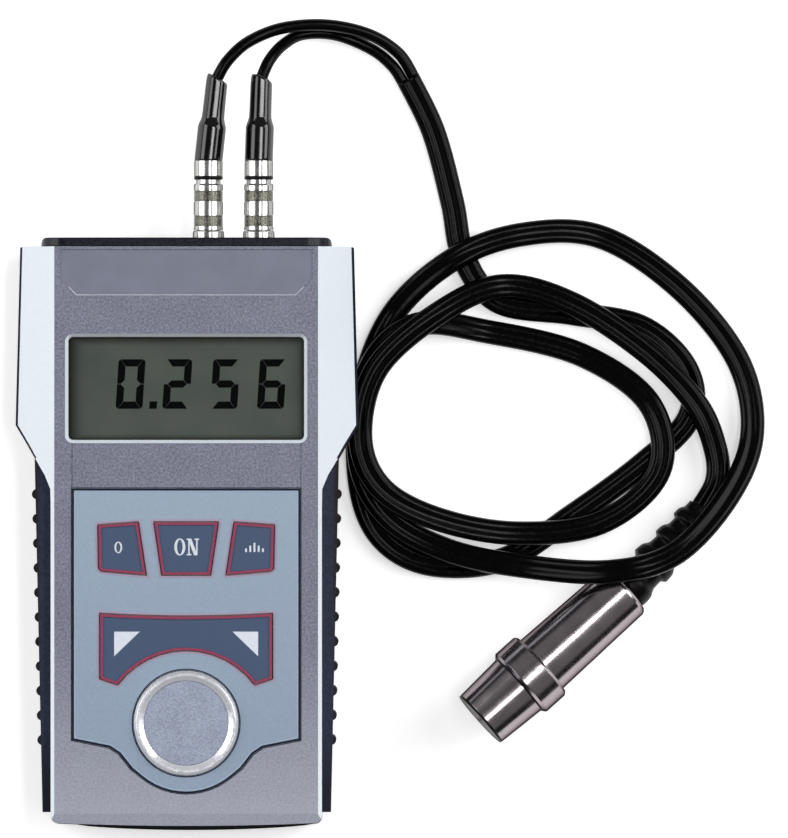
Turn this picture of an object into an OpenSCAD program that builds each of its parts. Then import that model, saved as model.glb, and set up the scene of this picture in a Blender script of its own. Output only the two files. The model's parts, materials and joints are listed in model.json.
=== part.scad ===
// Hand-held ultrasonic thickness gauge with a twin-crystal probe on a doubled lead.
// Millimetres. The gauge lies on its back: +Z out of the display, +Y towards the sockets,
// origin in the middle of the back face that it rests on.

/* [Housing] */
// Width across the gauge below the wings
waist_w = 58; // [57:0.2:59]
// Thickness of the gauge, back to front face
body_t = 25; // [24.6:0.1:26]
// Height of the parting line between the shells
split_z = 10.5; // [10:0.1:11]
// From the foot up to the middle of the test block
disc_up = 21.45; // [20.6:0.05:24]
// Slope of the sides: how far the front face stands in from the waist
face_inset = 0.8; // [0.4:0.1:1.4]
// How far a wing stands out beyond the waist
wing_out = 7.6; // [7:0.1:8.4]
// How far a wing draws in again towards the cap
wing_taper = 1; // [0.4:0.1:1.6]
// Height of the upright rim of a wing
rim_h = 2.5; // [2:0.1:3.5]
// How far the rear shell stands out beyond the waist, behind the wings
rear_out = 2.5; // [2.2:0.1:2.9]
// Thickness of the side walls
wall = 2; // [1.6:0.1:2.3]
// Thickness of the front wall
front_wall = 2.6; // [2.4:0.1:2.8]
// Thickness of the back wall
back_wall = 2.6; // [2.4:0.1:3]
// How far the foot edge bows out
foot_bow = 0.6; // [0.2:0.1:1.2]
// How far the rear shell stands out below the front shell at the foot
rear_lap = 0.5; // [0.2:0.1:1]
// Rounding of the long back edges
back_round = 4; // [2:0.2:5]
// Chamfer across the foot of the front face
foot_chamfer = 2; // [1:0.1:3]
// Depth of the bare label recess
label_depth = 0.25; // [0.1:0.05:0.5]
// Length of the label recess
label_h = 9.8; // [8:0.2:10.6]
// Margin of the label recess from the side of the front face
label_margin = 1.2; // [0.8:0.1:3]

/* [Cap and grips] */
// Thickness of the end cap outside the shells
cap_t = 1.9; // [1.4:0.1:3]
// How far the end cap stands in from the rear shell's side
cap_inset = 0.4; // [0.2:0.1:1]
// How far the end cap stands in from the front face and the back
cap_drop = 1.3; // [1:0.1:2]
// Rounding of the cap's corners
cap_round = 5; // [4:0.2:7]
// Depth of the cap's lip inside the shells
cap_lip = 2.5; // [2:0.1:3.5]
// How far a grip stands out beyond the waist at the wings
grip_top_out = 3.6; // [3:0.1:4]
// How far a grip stands out beyond the waist at the foot
grip_foot_out = 1.9; // [1.4:0.1:2.5]
// Height of the grips
grip_h = 14; // [11:0.2:15]
// Number of ribs on a grip
rib_count = 11; // [7:1:11]
// Radius of a rib
rib_r = 1.1; // [0.8:0.05:1.3]
// How far a rib stands proud
rib_proud = 0.8; // [0.4:0.05:0.9]

/* [Display] */
// Margin of the window from the side of the front face
window_margin = 3; // [2.7:0.1:5]
// Height of the window
window_h = 22; // [18:0.2:25]
// Gap between the window and the keypad
window_gap = 10.4; // [6:0.2:14]
// Width of the bevel round the window
window_bevel = 0.7; // [0.3:0.05:1]
// Thickness of the clear window lens
lens_t = 1; // [0.8:0.05:1.2]
// Thickness of the display glass
lcd_t = 2.2; // [1.6:0.1:2.6]
// Thickness of the circuit board
board_t = 1.6; // [1:0.1:2]

/* [Keypad] */
// Margin of the keypad from the side of the front face
pad_margin = 3.75; // [3:0.05:5]
// From the middle of the test block up to the top of the keypad
pad_top_up = 50.15; // [46:0.05:56]
// Thickness of the keypad film
pad_t = 1; // [0.9:0.05:1.1]
// Thickness of the switch layer under the film
switch_t = 0.4; // [0.3:0.05:0.5]
// Radius of the keypad round the test block
pad_arc_r = 15.1; // [14.2:0.1:15.8]
// How far a key travels
key_travel = 0.4; // [0.2:0.05:0.5]
// How far a key stands proud of the film
key_proud = 0.35; // [0.1:0.05:0.6]
// Gap round a key
key_gap = 0.2; // [0.15:0.05:0.35]
// Half angle of the arrow key's rocking, in degrees
rock_angle = 1.2; // [0.8:0.1:1.4]

/* [Test block] */
// Radius of the steel test block
block_r = 9; // [8.4:0.1:9.4]
// Thickness of the steel test block
block_t = 4; // [3.4:0.1:4.4]
// Outer radius of its ring
ring_r = 11.2; // [10.6:0.1:11.8]
// How far the ring stands out of the front face
ring_proud = 0.9; // [0.5:0.1:1.5]

/* [Battery] */
// Radius of a battery cell
cell_r = 7.1; // [6.8:0.05:7.2]
// Length of a battery cell
cell_l = 50; // [48:0.2:51]
// Thickness of the battery door
door_t = 1.5; // [1.3:0.05:1.7]
// How far the door slides off
door_travel = 12; // [6:1:20]

/* [Connectors] */
// Distance between the two sockets
socket_gap = 10.8; // [9.6:0.1:13]
// Outer radius of a plug
plug_r = 3.15; // [3:0.05:3.4]
// Radius of a plug's nose
nose_r = 2.5; // [2.3:0.05:2.6]
// Length of a plug's release sleeve
sleeve_l = 9.9; // [8:0.1:12]
// Travel of the release sleeve
sleeve_travel = 0.7; // [0.4:0.05:0.8]
// Length of a collet nut
collet_l = 4.1; // [3:0.1:6]
// Radius of a cable
lead_r = 1.3; // [1.2:0.02:1.3]

/* [Probe] */
// Radius of the probe's front edge
tip_r = 6.7; // [6.4:0.1:7]
// Radius of the nose at the collar
nose_root_r = 7.3; // [7.1:0.1:7.6]
// Length of the nose
tip_l = 11.3; // [8:0.1:13]
// Radius of the collar
collar_r = 8.3; // [7.9:0.1:8.8]
// Length of the collar
collar_l = 6.4; // [4:0.1:8]
// Radius of the body behind the collar
body_r = 6.95; // [6.7:0.05:7.2]
// Radius of the body's tail
tail_r = 6.3; // [5.8:0.1:6.6]
// Length of the body behind the collar
body_l = 24.5; // [20:0.5:28]
// Radius of the strain relief where it leaves the probe
relief_r = 5.2; // [4.6:0.1:5.4]
// Number of ribs on the strain relief
relief_ribs = 4; // [3:1:6]

/* [Hidden] */
round_fn = 64;
fine_fn = 32;
cord_sides = 8;
// Overrun of every cut through a face
over = 1;
// Clearance of pieces that are fixed to each other, and of those that slide
fit = 0.05;
slip = 0.15;

silver = [0.80, 0.81, 0.85];
navy = [0.13, 0.14, 0.20];
slate = [0.30, 0.38, 0.47];
film_blue = [0.60, 0.66, 0.74];
steel = [0.66, 0.66, 0.68];
chrome = [0.86, 0.86, 0.88];
black = [0.04, 0.04, 0.045];

// Widths, all from the waist
face_w = waist_w - 2 * face_inset;
wing_w = waist_w + 2 * wing_out;
wing_top_w = wing_w - 2 * wing_taper;
rear_w = waist_w + 2 * rear_out;
grip_top_w = waist_w + 2 * grip_top_out;
grip_foot_w = waist_w + 2 * grip_foot_out;
cap_w = rear_w - 2 * cap_inset;
cap_h = body_t - 2 * cap_drop;
label_w = face_w - 2 * label_margin;
window_w = face_w - 2 * window_margin;
pad_w = face_w - 2 * pad_margin;

// Screws' posts, and the room that the board's screws need between the display and the cap
bezel_margin = 1.6;
holder_rim = 0.6;
screw_post_r = 3.6;
screw_end_inset = 8;
board_post_r = 2.4;
board_post_gap = 0.6;
board_end_drop = screw_end_inset + screw_post_r + 4 * fit;
window_drop = window_h / 2 + bezel_margin + holder_rim + 2 * board_post_r + board_post_gap + board_end_drop;

// Length of the front shell, from what lies along it, foot to cap
shell_l = disc_up + pad_top_up + window_gap + window_h / 2 + window_drop;
top_y = shell_l / 2;
foot_y = -shell_l / 2;
wing_rim_z = split_z + rim_h;
face_in_z = body_t - front_wall;
// Outline of the wing's lower end: share of the way from waist to wing, share of the shell's length
wing_curve_shares = [
    [0, 0.052], [0.01, 0.079], [0.17, 0.103], [0.45, 0.132], [0.67, 0.156], [1, 0.190]
];
bow_steps = 8;
foot_round = 1.5;
rib_foot_share = 0.2267;
arc_steps = 6;

// Label recess, from the cap down; its cut corners are a share of its height
cap_frame_share = 1.4;
cap_edge_share = 0.65;
label_gap_share = 0.07;
label_top_y = top_y - label_gap_share * label_h;
label_cut_share = 0.36;

// Window and display, placed from the cap end
window_y = top_y - window_drop;
window_round = 1;
ledge_lap = 1.2;
lcd_w = window_w + bezel_margin;
lcd_h = window_h + 2 * bezel_margin;
lens_sink_share = 1.4;
lens_top_z = body_t - lens_sink_share * lens_t;
lens_low_z = lens_top_z - lens_t;
lcd_top_z = min(face_in_z, lens_low_z) - fit;
lcd_low_z = lcd_top_z - lcd_t;
board_drop = 11.4;
board_top_z = body_t - board_drop;
board_low_z = board_top_z - board_t;
strip_t = 1.8;
groove_w = 0.35;
groove_depth = 0.2;
groove_x = pad_w / 2 - groove_w / 2;

// Keypad, placed from the foot end
disc_y = foot_y + disc_up;
pad_top_y = disc_y + pad_top_up;
pad_side_drop = 3.65;
pad_side_y = disc_y - pad_side_drop;
pad_recess = 1.6;
pad_floor_z = body_t - pad_recess;
switch_top_z = pad_floor_z + switch_t;
pad_top_z = switch_top_z + pad_t;
pad_edge_gap = 0.2;
// Lower side of the keypad: share of the half width, share of the arc's radius below the block
pad_shoulder_shares = [[0.67, 0.348], [0.585, 0.44], [0.483, 0.65]];
pad_arc_start = 50;

// Keys: shares of the film's half width, and of its height above the block's centre
row_top_share = 0.8604;
row_low_share = 0.6271;
row_top_up = row_top_share * pad_top_up;
row_low_up = row_low_share * pad_top_up;
zero_shares = [[0.777, 0.055], [0.415, 0], [0.343, 1], [0.74, 0.93], [0.77, 0.87]];
on_shares = [[-0.288, 0], [0.288, 0], [0.217, 1], [-0.217, 1]];
arrow_top_share = 0.4706;
arrow_top_up = arrow_top_share * pad_top_up;
arrow_sag = 0.6;
arrow_w_share = 0.38;
arrow_half_w = pad_w * arrow_w_share;
arrow_steps = 4;
arrow_gap = 7;
arrow_r = ring_r + arrow_gap;
arrow_arch_drop = 2.85;
arrow_arch_up = arrow_r - arrow_arch_drop;
arrow_low_share = 0.1585;
arrow_low_up = arrow_low_share * pad_top_up;
arrow_corner_rise = 1.4;
arrow_arch_start = asin((arrow_low_up + arrow_arch_drop) / arrow_r);
dome_r = 3;
dome_h = 0.25;
zero_dome_share = 0.59;
arrow_dome_share = 0.8;
dome_up_share = 0.5;
key_low_z = switch_top_z + dome_h + key_travel + fit;
key_top_z = pad_top_z + key_proud;
pivot_half_w = 0.6;
key_rim_w = 0.7;
key_rim_h = 0.15;

// Test block pocket in the front wall
block_proud = 0.3;
block_top_z = body_t + block_proud;
block_low_z = block_top_z - block_t;
cup_floor = 1.4;
cup_wall = 1.8;

// Battery compartment, from the foot up
door_sink = 0.3;
door_lip = 0.8;
door_rail = 1;
door_lap = 1;
foot_wall = 2.2;
cell_end_gap = 2.6;
bay_low_y = foot_y + foot_wall;
bay_l = cell_l + 2 * cell_end_gap;
bay_top_y = bay_low_y + bay_l;
bay_wall = 1.4;
cell_gap = 0.2;
bay_half_w = 2 * cell_r + 2 * cell_gap;
cell_z = door_sink + door_t + 2 * cell_gap + cell_r;
bay_roof_z = cell_z + cell_r + cell_gap;
door_top_y = bay_top_y + bay_wall;
door_w = 2 * (bay_half_w + bay_wall + door_lap);
door_groove_count = 5;
door_groove_w = 0.9;
door_groove_depth = 0.4;
door_groove_pitch = 2.2;
door_groove_l = 16;
contact_t = 0.4;
contact_half_w = 5;
spring_wide_r = 4;
spring_small_r = 2;
button_r = 2.7;
button_h = 1.2;
cell_low_y = bay_low_y + bay_wall / 2 + cell_end_gap;
cell_high_y = cell_low_y + cell_l - button_h;

// Screws
screw_r = 1.25;
screw_head_r = 2.4;
screw_head_h = 1.8;
screw_seat_z = 5;
screw_top_z = 17;
screw_inset = 4.4;
case_x = waist_w / 2 - screw_inset;
case_ys = [foot_y + screw_end_inset, top_y - screw_end_inset];
board_margin = 3;
board_half_w = waist_w / 2 - board_margin;
board_low_y = bay_top_y + bay_wall + slip;
board_top_y = top_y - board_end_drop;
board_screw_r = 0.9;
board_head_r = 1.9;
board_head_h = 1.3;
board_screw_inset = 2.5;
board_screw_x = board_half_w - board_screw_inset;
board_screw_ys = [board_low_y + board_screw_inset, board_top_y - board_screw_inset];
board_screw_depth = 5;
// Flat tail of the switch layer, between the board's lower end and the top of the keypad
tail_half_w = 6;
tail_t = 0.4;
tail_socket_h = 3;
tail_share = 0.731;
tail_y = board_low_y + tail_share * (pad_top_y - board_low_y);
// Packages on the board as shares of its half width and length, with their own sizes
chip_shares = [[0, 0.55], [-0.55, 0.32], [0.55, 0.35], [0.5, 0.72]];
chip_sizes = [[12, 12, 1.6], [6, 9, 1.4], [8, 6, 1.4], [10, 4, 1.8]];
can_shares = [[-0.5, 0.75], [-0.22, 0.2], [0.2, 0.16]];
can_sizes = [[3.2, 5.5], [2.5, 5], [2.5, 5]];

// Sockets and plugs along +Y from the cap's outer face
cap_y = top_y + cap_t;
socket_mid_share = 0.1724;
socket_mid_x = socket_mid_share * waist_w;
socket_z = body_t / 2;
socket_xs = [socket_mid_x - socket_gap / 2, socket_mid_x + socket_gap / 2];
socket_ring_l = 1.6;
socket_rim_share = 0.35;
socket_ring_r = plug_r + socket_rim_share * (plug_r - nose_r);
socket_edge_share = 0.2;
socket_wall = 0.8;
socket_thread_r = nose_r + socket_wall;
socket_depth = 7.4;
socket_back_l = 3;
socket_nut_r = 5;
socket_nut_l = 1.8;
nose_tip_gap = 0.3;
sleeve_wall = 0.55;
core_r = plug_r - sleeve_wall;
sleeve_start_y = cap_y + socket_ring_l + slip;
sleeve_end_y = sleeve_start_y + sleeve_l;
neck_gap = 0.15;
collet_y = sleeve_end_y + sleeve_travel + neck_gap;
collet_end_y = collet_y + collet_l;
collet_step = 0.1;
collet_r = plug_r - collet_step;
band_depth = 0.2;
band_l = 2.4;
band_low_share = 0.3;
band_high_share = 1.6;
tail_stub = 1.6;
tail_stub_r = 1.9;
wire_r = 0.55;
wire_thin_share = 0.8;
wire_rise_share = 2;
wire_drop_share = 1.3;
// Boot: how far along, and how thick there as a share of the collet nut
boot_shares = [
    [0, 1], [0.1, 1], [0.3, 1], [0.41, 1], [0.46, 0.92], [0.52, 0.8], [0.8, 0.78], [1, 0.76]
];

// Probe: how far from the rear shell its tail lies, which way it points, and how it leans back on its collar
probe_tail_out = 62.8;
probe_tail_x = rear_w / 2 + probe_tail_out;
probe_tail_y = -11.8;
probe_turn = 41.8;
probe_lean = atan((collar_r - tail_r) / body_l);
probe_tail_z = tail_r * cos(probe_lean);
probe_l = tip_l + collar_l + body_l;
bevel_share = 0.07;
delay_depth = 8;
delay_wall = 1.3;
delay_r = tip_r - delay_wall;
barrier_t = 0.8;
crystal_t = 0.8;
backing_l = 9;
relief_tip_r = 3.9;
relief_rib_share = 0.2;
relief_steps = 4;
relief_knee_share = 0.6;

// Routes of the cables: places chosen by hand along the way they lie, x, y and height.
// The coil's places are measured from the side of the rear shell.
left_route = [
    [6.5, 98, 12.5], [8.8, 101.8, 12.3], [13.2, 105.8, 11], [20.5, 108.8, 8.6],
    [30, 109.5, 6.2], [39, 107.6, 3.8], [45.4, 103.6, 2]
];
right_route = [
    [16, 98, 12.5], [17.7, 101.8, 11.6], [20.7, 105.3, 8.4], [25, 107.6, 4.9],
    [32, 107.5, 2.2], [39.5, 104.5, 1.3], [44, 100.9, 1.3]
];
coil_places = [
    [16, 98, 1.3], [21.5, 86.5, 1.3], [25.5, 71.5, 1.3], [28, 59.5, 1.3], [35.5, 50, 1.3],
    [51.5, 47.5, 1.3], [66.5, 44.5, 1.3], [76, 35.5, 1.3], [76.5, 25, 1.3], [66.5, 15, 1.3],
    [51.5, 4, 1.3], [36.5, -5.5, 1.3], [20.5, -6.5, 1.3], [10, -0.5, 1.3], [5.5, 11.5, 1.3],
    [6, 30, 1.3], [12.5, 47, 1.3], [25.5, 59, 4.5], [40.5, 64.5, 3], [57.5, 64, 1.3],
    [74.5, 53, 1.3], [87, 37.5, 1.5], [90.1, 22, 3.6], [85, 8.5, 8.2], [73.5, -4, 12.9],
    [59.5, -8, 13.6], [41.5, -7, 7], [24.5, -3.5, 4.3], [11.5, 4, 4.3], [5.5, 16.5, 4.3],
    [7.5, 35, 4.3], [17.5, 45, 4], [33.5, 43.5, 1.3], [53.5, 38.5, 1.3], [68, 28, 3.8],
    [70, 13.5, 4.5], [57.5, 2.5, 4.4], [38.5, 0.2, 4.4], [21, 3.7, 6.2], [9.7, 10.5, 7.2],
    [5.7, 21.5, 7.2], [9.5, 36, 7.2], [23, 47.8, 6.6], [36.5, 53.4, 4.4], [51.5, 49.5, 4.3],
    [67.5, 39, 4.3], [78, 28, 4.5], [82.1, 18.5, 3.4], [82.5, 11.5, 3.4], [79.3, 5.5, 4.1]
];
twin_route = [for (p = coil_places) p + [rear_w / 2, 0, 0]];
lead_rings = 9;
twin_rings = 62;

// Points on a circle between two angles
function arc(x, y, r, from, to, steps) =
    [for (i = [0:steps]) let (a = from + (to - from) * i / steps) [x + r * cos(a), y + r * sin(a)]];
// A list and its mirror image in x, as one closed outline
function mirrored(points) =
    concat(points, [for (i = [len(points) - 1:-1:0]) [-points[i][0], points[i][1]]]);
// A rectangle with round corners
function round_rect(w, h, r) = concat(
    arc(w / 2 - r, h / 2 - r, r, 0, 90, arc_steps), arc(r - w / 2, h / 2 - r, r, 90, 180, arc_steps),
    arc(r - w / 2, r - h / 2, r, 180, 270, arc_steps), arc(w / 2 - r, r - h / 2, r, 270, 360, arc_steps));

// The smooth curve through a route, at a place from 0 to 1 along it
function at(route, i) = route[max(0, min(len(route) - 1, i))];
function smooth(a, b, c, d, t) = 0.5 * (2 * b + (c - a) * t
    + (2 * a - 5 * b + 4 * c - d) * t * t + (3 * b - a - 3 * c + d) * t * t * t);
function along(route, share) = let (u = share * (len(route) - 1), i = min(floor(u), len(route) - 2))
    smooth(at(route, i - 1), at(route, i), at(route, i + 1), at(route, i + 2), u - i);
function unit(v) = v / norm(v);
// Rings' centres along a route, none lower than a cable that lies on the table
function sampled(route, rings) = [for (i = [0:rings - 1])
    let (p = along(route, i / (rings - 1))) [p[0], p[1], max(p[2], lead_r)]];
function heading(path, i) = unit(at(path, i + 1) - at(path, i - 1));
// One ring of a sweep: half widths sideways and upwards, square to the path
function ring(centre, way, half_w, half_h, sides, turn = 0.5) =
    let (side = unit([way[1], -way[0], 0]), up = cross(side, way))
    [for (k = [0:sides - 1]) let (a = 360 * (k + turn) / sides)
        centre + side * half_w * cos(a) + up * half_h * sin(a)];

// A closed tube through rings of points
module skin(rings) {
    sides = len(rings[0]);
    last = len(rings) - 1;
    points = [for (r = rings) each r];
    walls = [for (i = [0:last - 1], k = [0:sides - 1])
        let (a = i * sides + k, b = i * sides + (k + 1) % sides)
        each [[a, b, a + sides], [b, b + sides, a + sides]]];
    ends = [[for (k = [sides - 1:-1:0]) k], [for (k = [0:sides - 1]) last * sides + k]];
    polyhedron(points, concat(walls, ends), convexity = 4);
}
module cable(route, rings, half_w, half_h, last_way = undef) {
    path = sampled(route, rings);
    skin([for (i = [0:rings - 1])
        ring(path[i], i == rings - 1 && last_way != undef ? last_way : heading(path, i),
            half_w, half_h, cord_sides)]);
}
// A solid of revolution along +Y from outline points [radius, distance]
module turned(points, x = 0, y = 0, z = 0) {
    translate([x, y, z]) rotate([-90, 0, 0]) rotate_extrude($fn = round_fn) polygon(points);
}
module rod(r, l, x, y, z) {
    translate([x, y, z]) rotate([-90, 0, 0]) cylinder(r = r, h = l, $fn = fine_fn);
}
module block(low, high) {
    translate(low) cube(high - low);
}
// A section across the gauge, run along its whole length
module run_along(points) {
    rotate([90, 0, 0]) linear_extrude(2 * shell_l, center = true) polygon(points);
}
// A side profile, run across the whole width
module run_across(points) {
    rotate([90, 0, 90]) linear_extrude(2 * wing_w, center = true) polygon(points);
}
module both_sides() {
    children();
    mirror([1, 0, 0]) children();
}

// The outline of the shells seen from the front, up to a given half width of the wings
function bow_points(half_w, low_y) = [for (i = [0:bow_steps - 1])
    let (share = i / bow_steps) [half_w * share, low_y - foot_bow * (1 - share * share)]];
function wing_points(wide) = [for (p = wing_curve_shares)
    [waist_w / 2 + p[0] * (wide - waist_w) / 2, p[1] * shell_l]];
function shell_outline(wide, top_wide, low_y) = mirrored(concat(
    bow_points(waist_w / 2 - foot_round, low_y),
    arc(waist_w / 2 - foot_round, low_y + foot_round, foot_round, -90, 0, arc_steps),
    wing_points(wide), [[top_wide / 2, top_y]]));

module front_shell() {
    color(silver) difference() {
        union() {
            difference() {
                front_form();
                front_hollow();
            }
            intersection() {
                front_form();
                front_posts();
            }
        }
        label_recess();
        window_cut();
        keypad_cut();
        translate([0, disc_y, block_low_z]) cylinder(r = block_r + fit, h = block_t + over, $fn = round_fn);
        screw_pilots();
    }
}
module front_form() {
    intersection() {
        translate([0, 0, split_z]) linear_extrude(body_t - split_z)
            polygon(shell_outline(wing_w, wing_top_w, foot_y));
        run_along(mirrored([
            [face_w / 2, body_t], [wing_w / 2, wing_rim_z], [wing_w / 2, split_z - over]]));
        run_across([
            [foot_y - foot_bow, split_z - over], [foot_y - foot_bow, body_t - foot_chamfer],
            [foot_y + foot_chamfer, body_t], [top_y, body_t], [top_y, split_z - over]]);
    }
}
// Inside the front shell: the waist, and the wider part behind the wings
module front_hollow() {
    inner = waist_w / 2 - wall;
    shoulder = rear_w / 2 - wall;
    block([-inner, foot_y + foot_wall, split_z - over], [inner, top_y + over, face_in_z]);
    intersection() {
        run_along(mirrored([
            [face_w / 2 - wall / 2, face_in_z], [shoulder, face_in_z - 2 * wall],
            [shoulder, split_z - over]]));
        block([-wing_w, wing_curve_shares[5][1] * shell_l, 0], [wing_w, top_y + over, body_t]);
    }
}
module front_posts() {
    both_sides() for (y = case_ys)
        translate([case_x, y, split_z]) cylinder(r = screw_post_r, h = face_in_z - split_z + fit, $fn = fine_fn);
    both_sides() for (y = board_screw_ys)
        translate([board_screw_x, y, board_top_z])
            cylinder(r = board_post_r, h = face_in_z - board_top_z + fit, $fn = fine_fn);
    translate([0, disc_y, block_low_z - cup_floor])
        cylinder(r = block_r + cup_wall, h = block_t, $fn = round_fn);
}
module screw_pilots() {
    both_sides() for (y = case_ys)
        translate([case_x, y, split_z - over])
            cylinder(r = screw_r + fit, h = screw_top_z - split_z + 2 * over, $fn = fine_fn);
    both_sides() for (y = board_screw_ys)
        translate([board_screw_x, y, board_top_z - over])
            cylinder(r = board_screw_r + fit, h = board_screw_depth + 2 * over, $fn = fine_fn);
}
module label_recess() {
    cut = label_h * label_cut_share;
    translate([0, 0, body_t - label_depth]) linear_extrude(over)
        polygon(mirrored([
            [label_w / 2, label_top_y], [label_w / 2, label_top_y - label_h + cut],
            [label_w / 2 - cut, label_top_y - label_h]]));
}
module window_prism(grow, low_z, high_z) {
    translate([0, 0, low_z]) linear_extrude(high_z - low_z)
        polygon(round_rect(window_w + 2 * grow, window_h + 2 * grow, window_round + grow));
}
// The window opening with its bevel, the seat of the lens behind it, and the two fine grooves
module window_cut() {
    half_w = window_w / 2;
    half_h = window_h / 2;
    translate([0, window_y, 0]) {
        window_prism(0, face_in_z - over, body_t + over);
        hull() {
            window_prism(0, lens_top_z, body_t - window_bevel);
            window_prism(window_bevel, body_t, body_t + fit);
        }
    }
    block([-half_w - ledge_lap, window_y - half_h - ledge_lap, face_in_z - over],
        [half_w + ledge_lap, window_y + half_h + ledge_lap, lens_top_z]);
    both_sides() block([groove_x, pad_top_y + pad_edge_gap, body_t - groove_depth],
        [groove_x + groove_w, window_y - half_h - window_bevel, body_t + over]);
}
function pad_outline(grow) = mirrored(concat(
    arc(0, disc_y, pad_arc_r + grow, -90, -pad_arc_start, arc_steps),
    [for (i = [2, 1, 0]) [pad_w / 2 * pad_shoulder_shares[i][0] + grow,
        disc_y - pad_arc_r * pad_shoulder_shares[i][1] - grow]],
    [[pad_w / 2 + grow, pad_side_y - grow], [pad_w / 2 + grow, pad_top_y + grow]]));
module keypad_cut() {
    translate([0, 0, pad_floor_z]) linear_extrude(pad_recess + over) polygon(pad_outline(pad_edge_gap));
    tail_slot(fit);
}
// The flat tail that leads from the switch layer down to the board
module tail_slot(gap) {
    block([-tail_half_w - gap, tail_y - gap, board_top_z + tail_socket_h],
        [tail_half_w + gap, tail_y + tail_t + gap, pad_floor_z + fit]);
}

module rear_shell() {
    color(navy) difference() {
        union() {
            difference() {
                rear_form();
                rear_hollow();
            }
            intersection() {
                rear_posts();
                rear_form();
            }
            bay_box();
        }
        bay_cut();
        both_sides() for (y = case_ys) {
            translate([case_x, y, -over]) cylinder(r = screw_head_r + slip, h = screw_seat_z + over, $fn = fine_fn);
            translate([case_x, y, 0]) cylinder(r = screw_r + slip, h = split_z + over, $fn = fine_fn);
        }
    }
}
module rear_form() {
    intersection() {
        linear_extrude(split_z) polygon(shell_outline(rear_w, rear_w, foot_y - rear_lap));
        run_along(concat(
            arc(rear_w / 2 - back_round, back_round, back_round, 0, -90, arc_steps),
            arc(back_round - rear_w / 2, back_round, back_round, -90, -180, arc_steps),
            [[-rear_w / 2, split_z + over], [rear_w / 2, split_z + over]]));
        run_across(concat(
            arc(foot_y - foot_bow - rear_lap + back_round, back_round, back_round, -90, -180, arc_steps),
            [[foot_y - foot_bow - rear_lap, split_z], [top_y, split_z], [top_y, 0]]));
    }
}
module rear_hollow() {
    inner = waist_w / 2 - wall;
    block([-inner, foot_y + foot_wall, back_wall], [inner, top_y + over, split_z + over]);
}
module rear_posts() {
    both_sides() for (y = case_ys)
        translate([case_x, y, 0]) cylinder(r = screw_post_r, h = split_z, $fn = fine_fn);
}
module bay_box() {
    block([-bay_half_w - bay_wall, foot_y + fit, back_wall - fit],
        [bay_half_w + bay_wall, bay_top_y + bay_wall, split_z]);
    block([-bay_half_w - bay_wall, bay_low_y + slip, split_z - fit],
        [bay_half_w + bay_wall, bay_top_y + bay_wall, bay_roof_z + bay_wall]);
}
module bay_cut() {
    block([-bay_half_w, bay_low_y + bay_wall, door_sink + door_t], [bay_half_w, bay_top_y, bay_roof_z]);
    door_form(slip, over);
}
// The door: a plate with a rail along each side, open towards the foot
module door_form(gap, run_out) {
    low_y = foot_y - foot_bow - rear_lap - run_out;
    rail_low_z = door_sink + door_lip;
    block([-door_w / 2 - gap, low_y, door_sink - gap - run_out],
        [door_w / 2 + gap, door_top_y + gap, door_sink + door_t + gap]);
    block([-door_w / 2 - door_rail - gap, low_y, rail_low_z - gap],
        [door_w / 2 + door_rail + gap, door_top_y + gap, door_sink + door_t + gap]);
}
module battery_door() {
    color(navy) difference() {
        intersection() {
            door_form(0, 0);
            rear_form();
        }
        for (i = [0:door_groove_count - 1])
            block([-door_groove_l / 2, foot_y + screw_end_inset + i * door_groove_pitch, 0],
                [door_groove_l / 2, foot_y + screw_end_inset + i * door_groove_pitch + door_groove_w,
                    door_sink + door_groove_depth]);
    }
}

module top_cap() {
    lip_half_w = waist_w / 2 - wall - fit;
    lip_low_z = back_wall + fit;
    lip_high_z = face_in_z - fit;
    frame_t = cap_frame_share * cap_lip;
    edge = cap_edge_share * cap_t;
    color(navy) difference() {
        union() {
            intersection() {
                translate([0, cap_y, body_t / 2]) rotate([90, 0, 0]) linear_extrude(cap_t)
                    polygon(round_rect(cap_w, cap_h, cap_round));
                linear_extrude(body_t) polygon(mirrored(concat([[cap_w / 2, top_y - over]],
                    arc(cap_w / 2 - edge, cap_y - edge, edge, 0, 90, arc_steps))));
            }
            block([-lip_half_w, top_y - cap_lip, lip_low_z], [lip_half_w, top_y + fit, lip_high_z]);
        }
        difference() {
            block([-lip_half_w + frame_t, top_y - cap_lip - over, lip_low_z + frame_t],
                [lip_half_w - frame_t, top_y - fit, lip_high_z - frame_t]);
            for (x = socket_xs) rod(socket_nut_r, 2 * cap_lip + over, x, top_y - cap_lip - over, socket_z);
        }
        for (x = socket_xs)
            rod(socket_thread_r + fit, cap_lip + cap_t + 2 * over, x, top_y - cap_lip - over, socket_z);
    }
}

// A grip fills the step at the waist, seats on both shells and meets the wing's lower end
module grip() {
    low_y = foot_y + foot_wall;
    low_z = split_z - grip_h / 2;
    wing_side = wing_points(wing_w);
    end = [grip_top_w / 2, lookup(grip_top_w / 2, wing_side)];
    seam = [for (p = wing_side) if (p[0] < end[0]) p];
    rib_top_y = seam[1][1] - rib_r;
    rib_low_y = low_y + rib_foot_share * (rib_top_y - low_y);
    rib_pitch = (rib_top_y - rib_low_y) / (rib_count - 1);
    translate([0, 0, low_z]) linear_extrude(grip_h)
        polygon(concat([[waist_w / 2, low_y], [grip_foot_w / 2, low_y], end],
            [for (i = [len(seam) - 1:-1:0]) seam[i]]));
    for (i = [0:rib_count - 1]) let (
        y = rib_top_y - i * rib_pitch,
        share = (y - low_y) / (end[1] - low_y),
        edge = (grip_foot_w + share * (grip_top_w - grip_foot_w)) / 2)
        translate([edge + rib_proud - rib_r, y, low_z + rib_r])
            cylinder(r = rib_r, h = grip_h - 2 * rib_r, $fn = fine_fn);
}
module grip_left() {
    color(navy) mirror([1, 0, 0]) grip();
}
module grip_right() {
    color(navy) grip();
}

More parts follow.
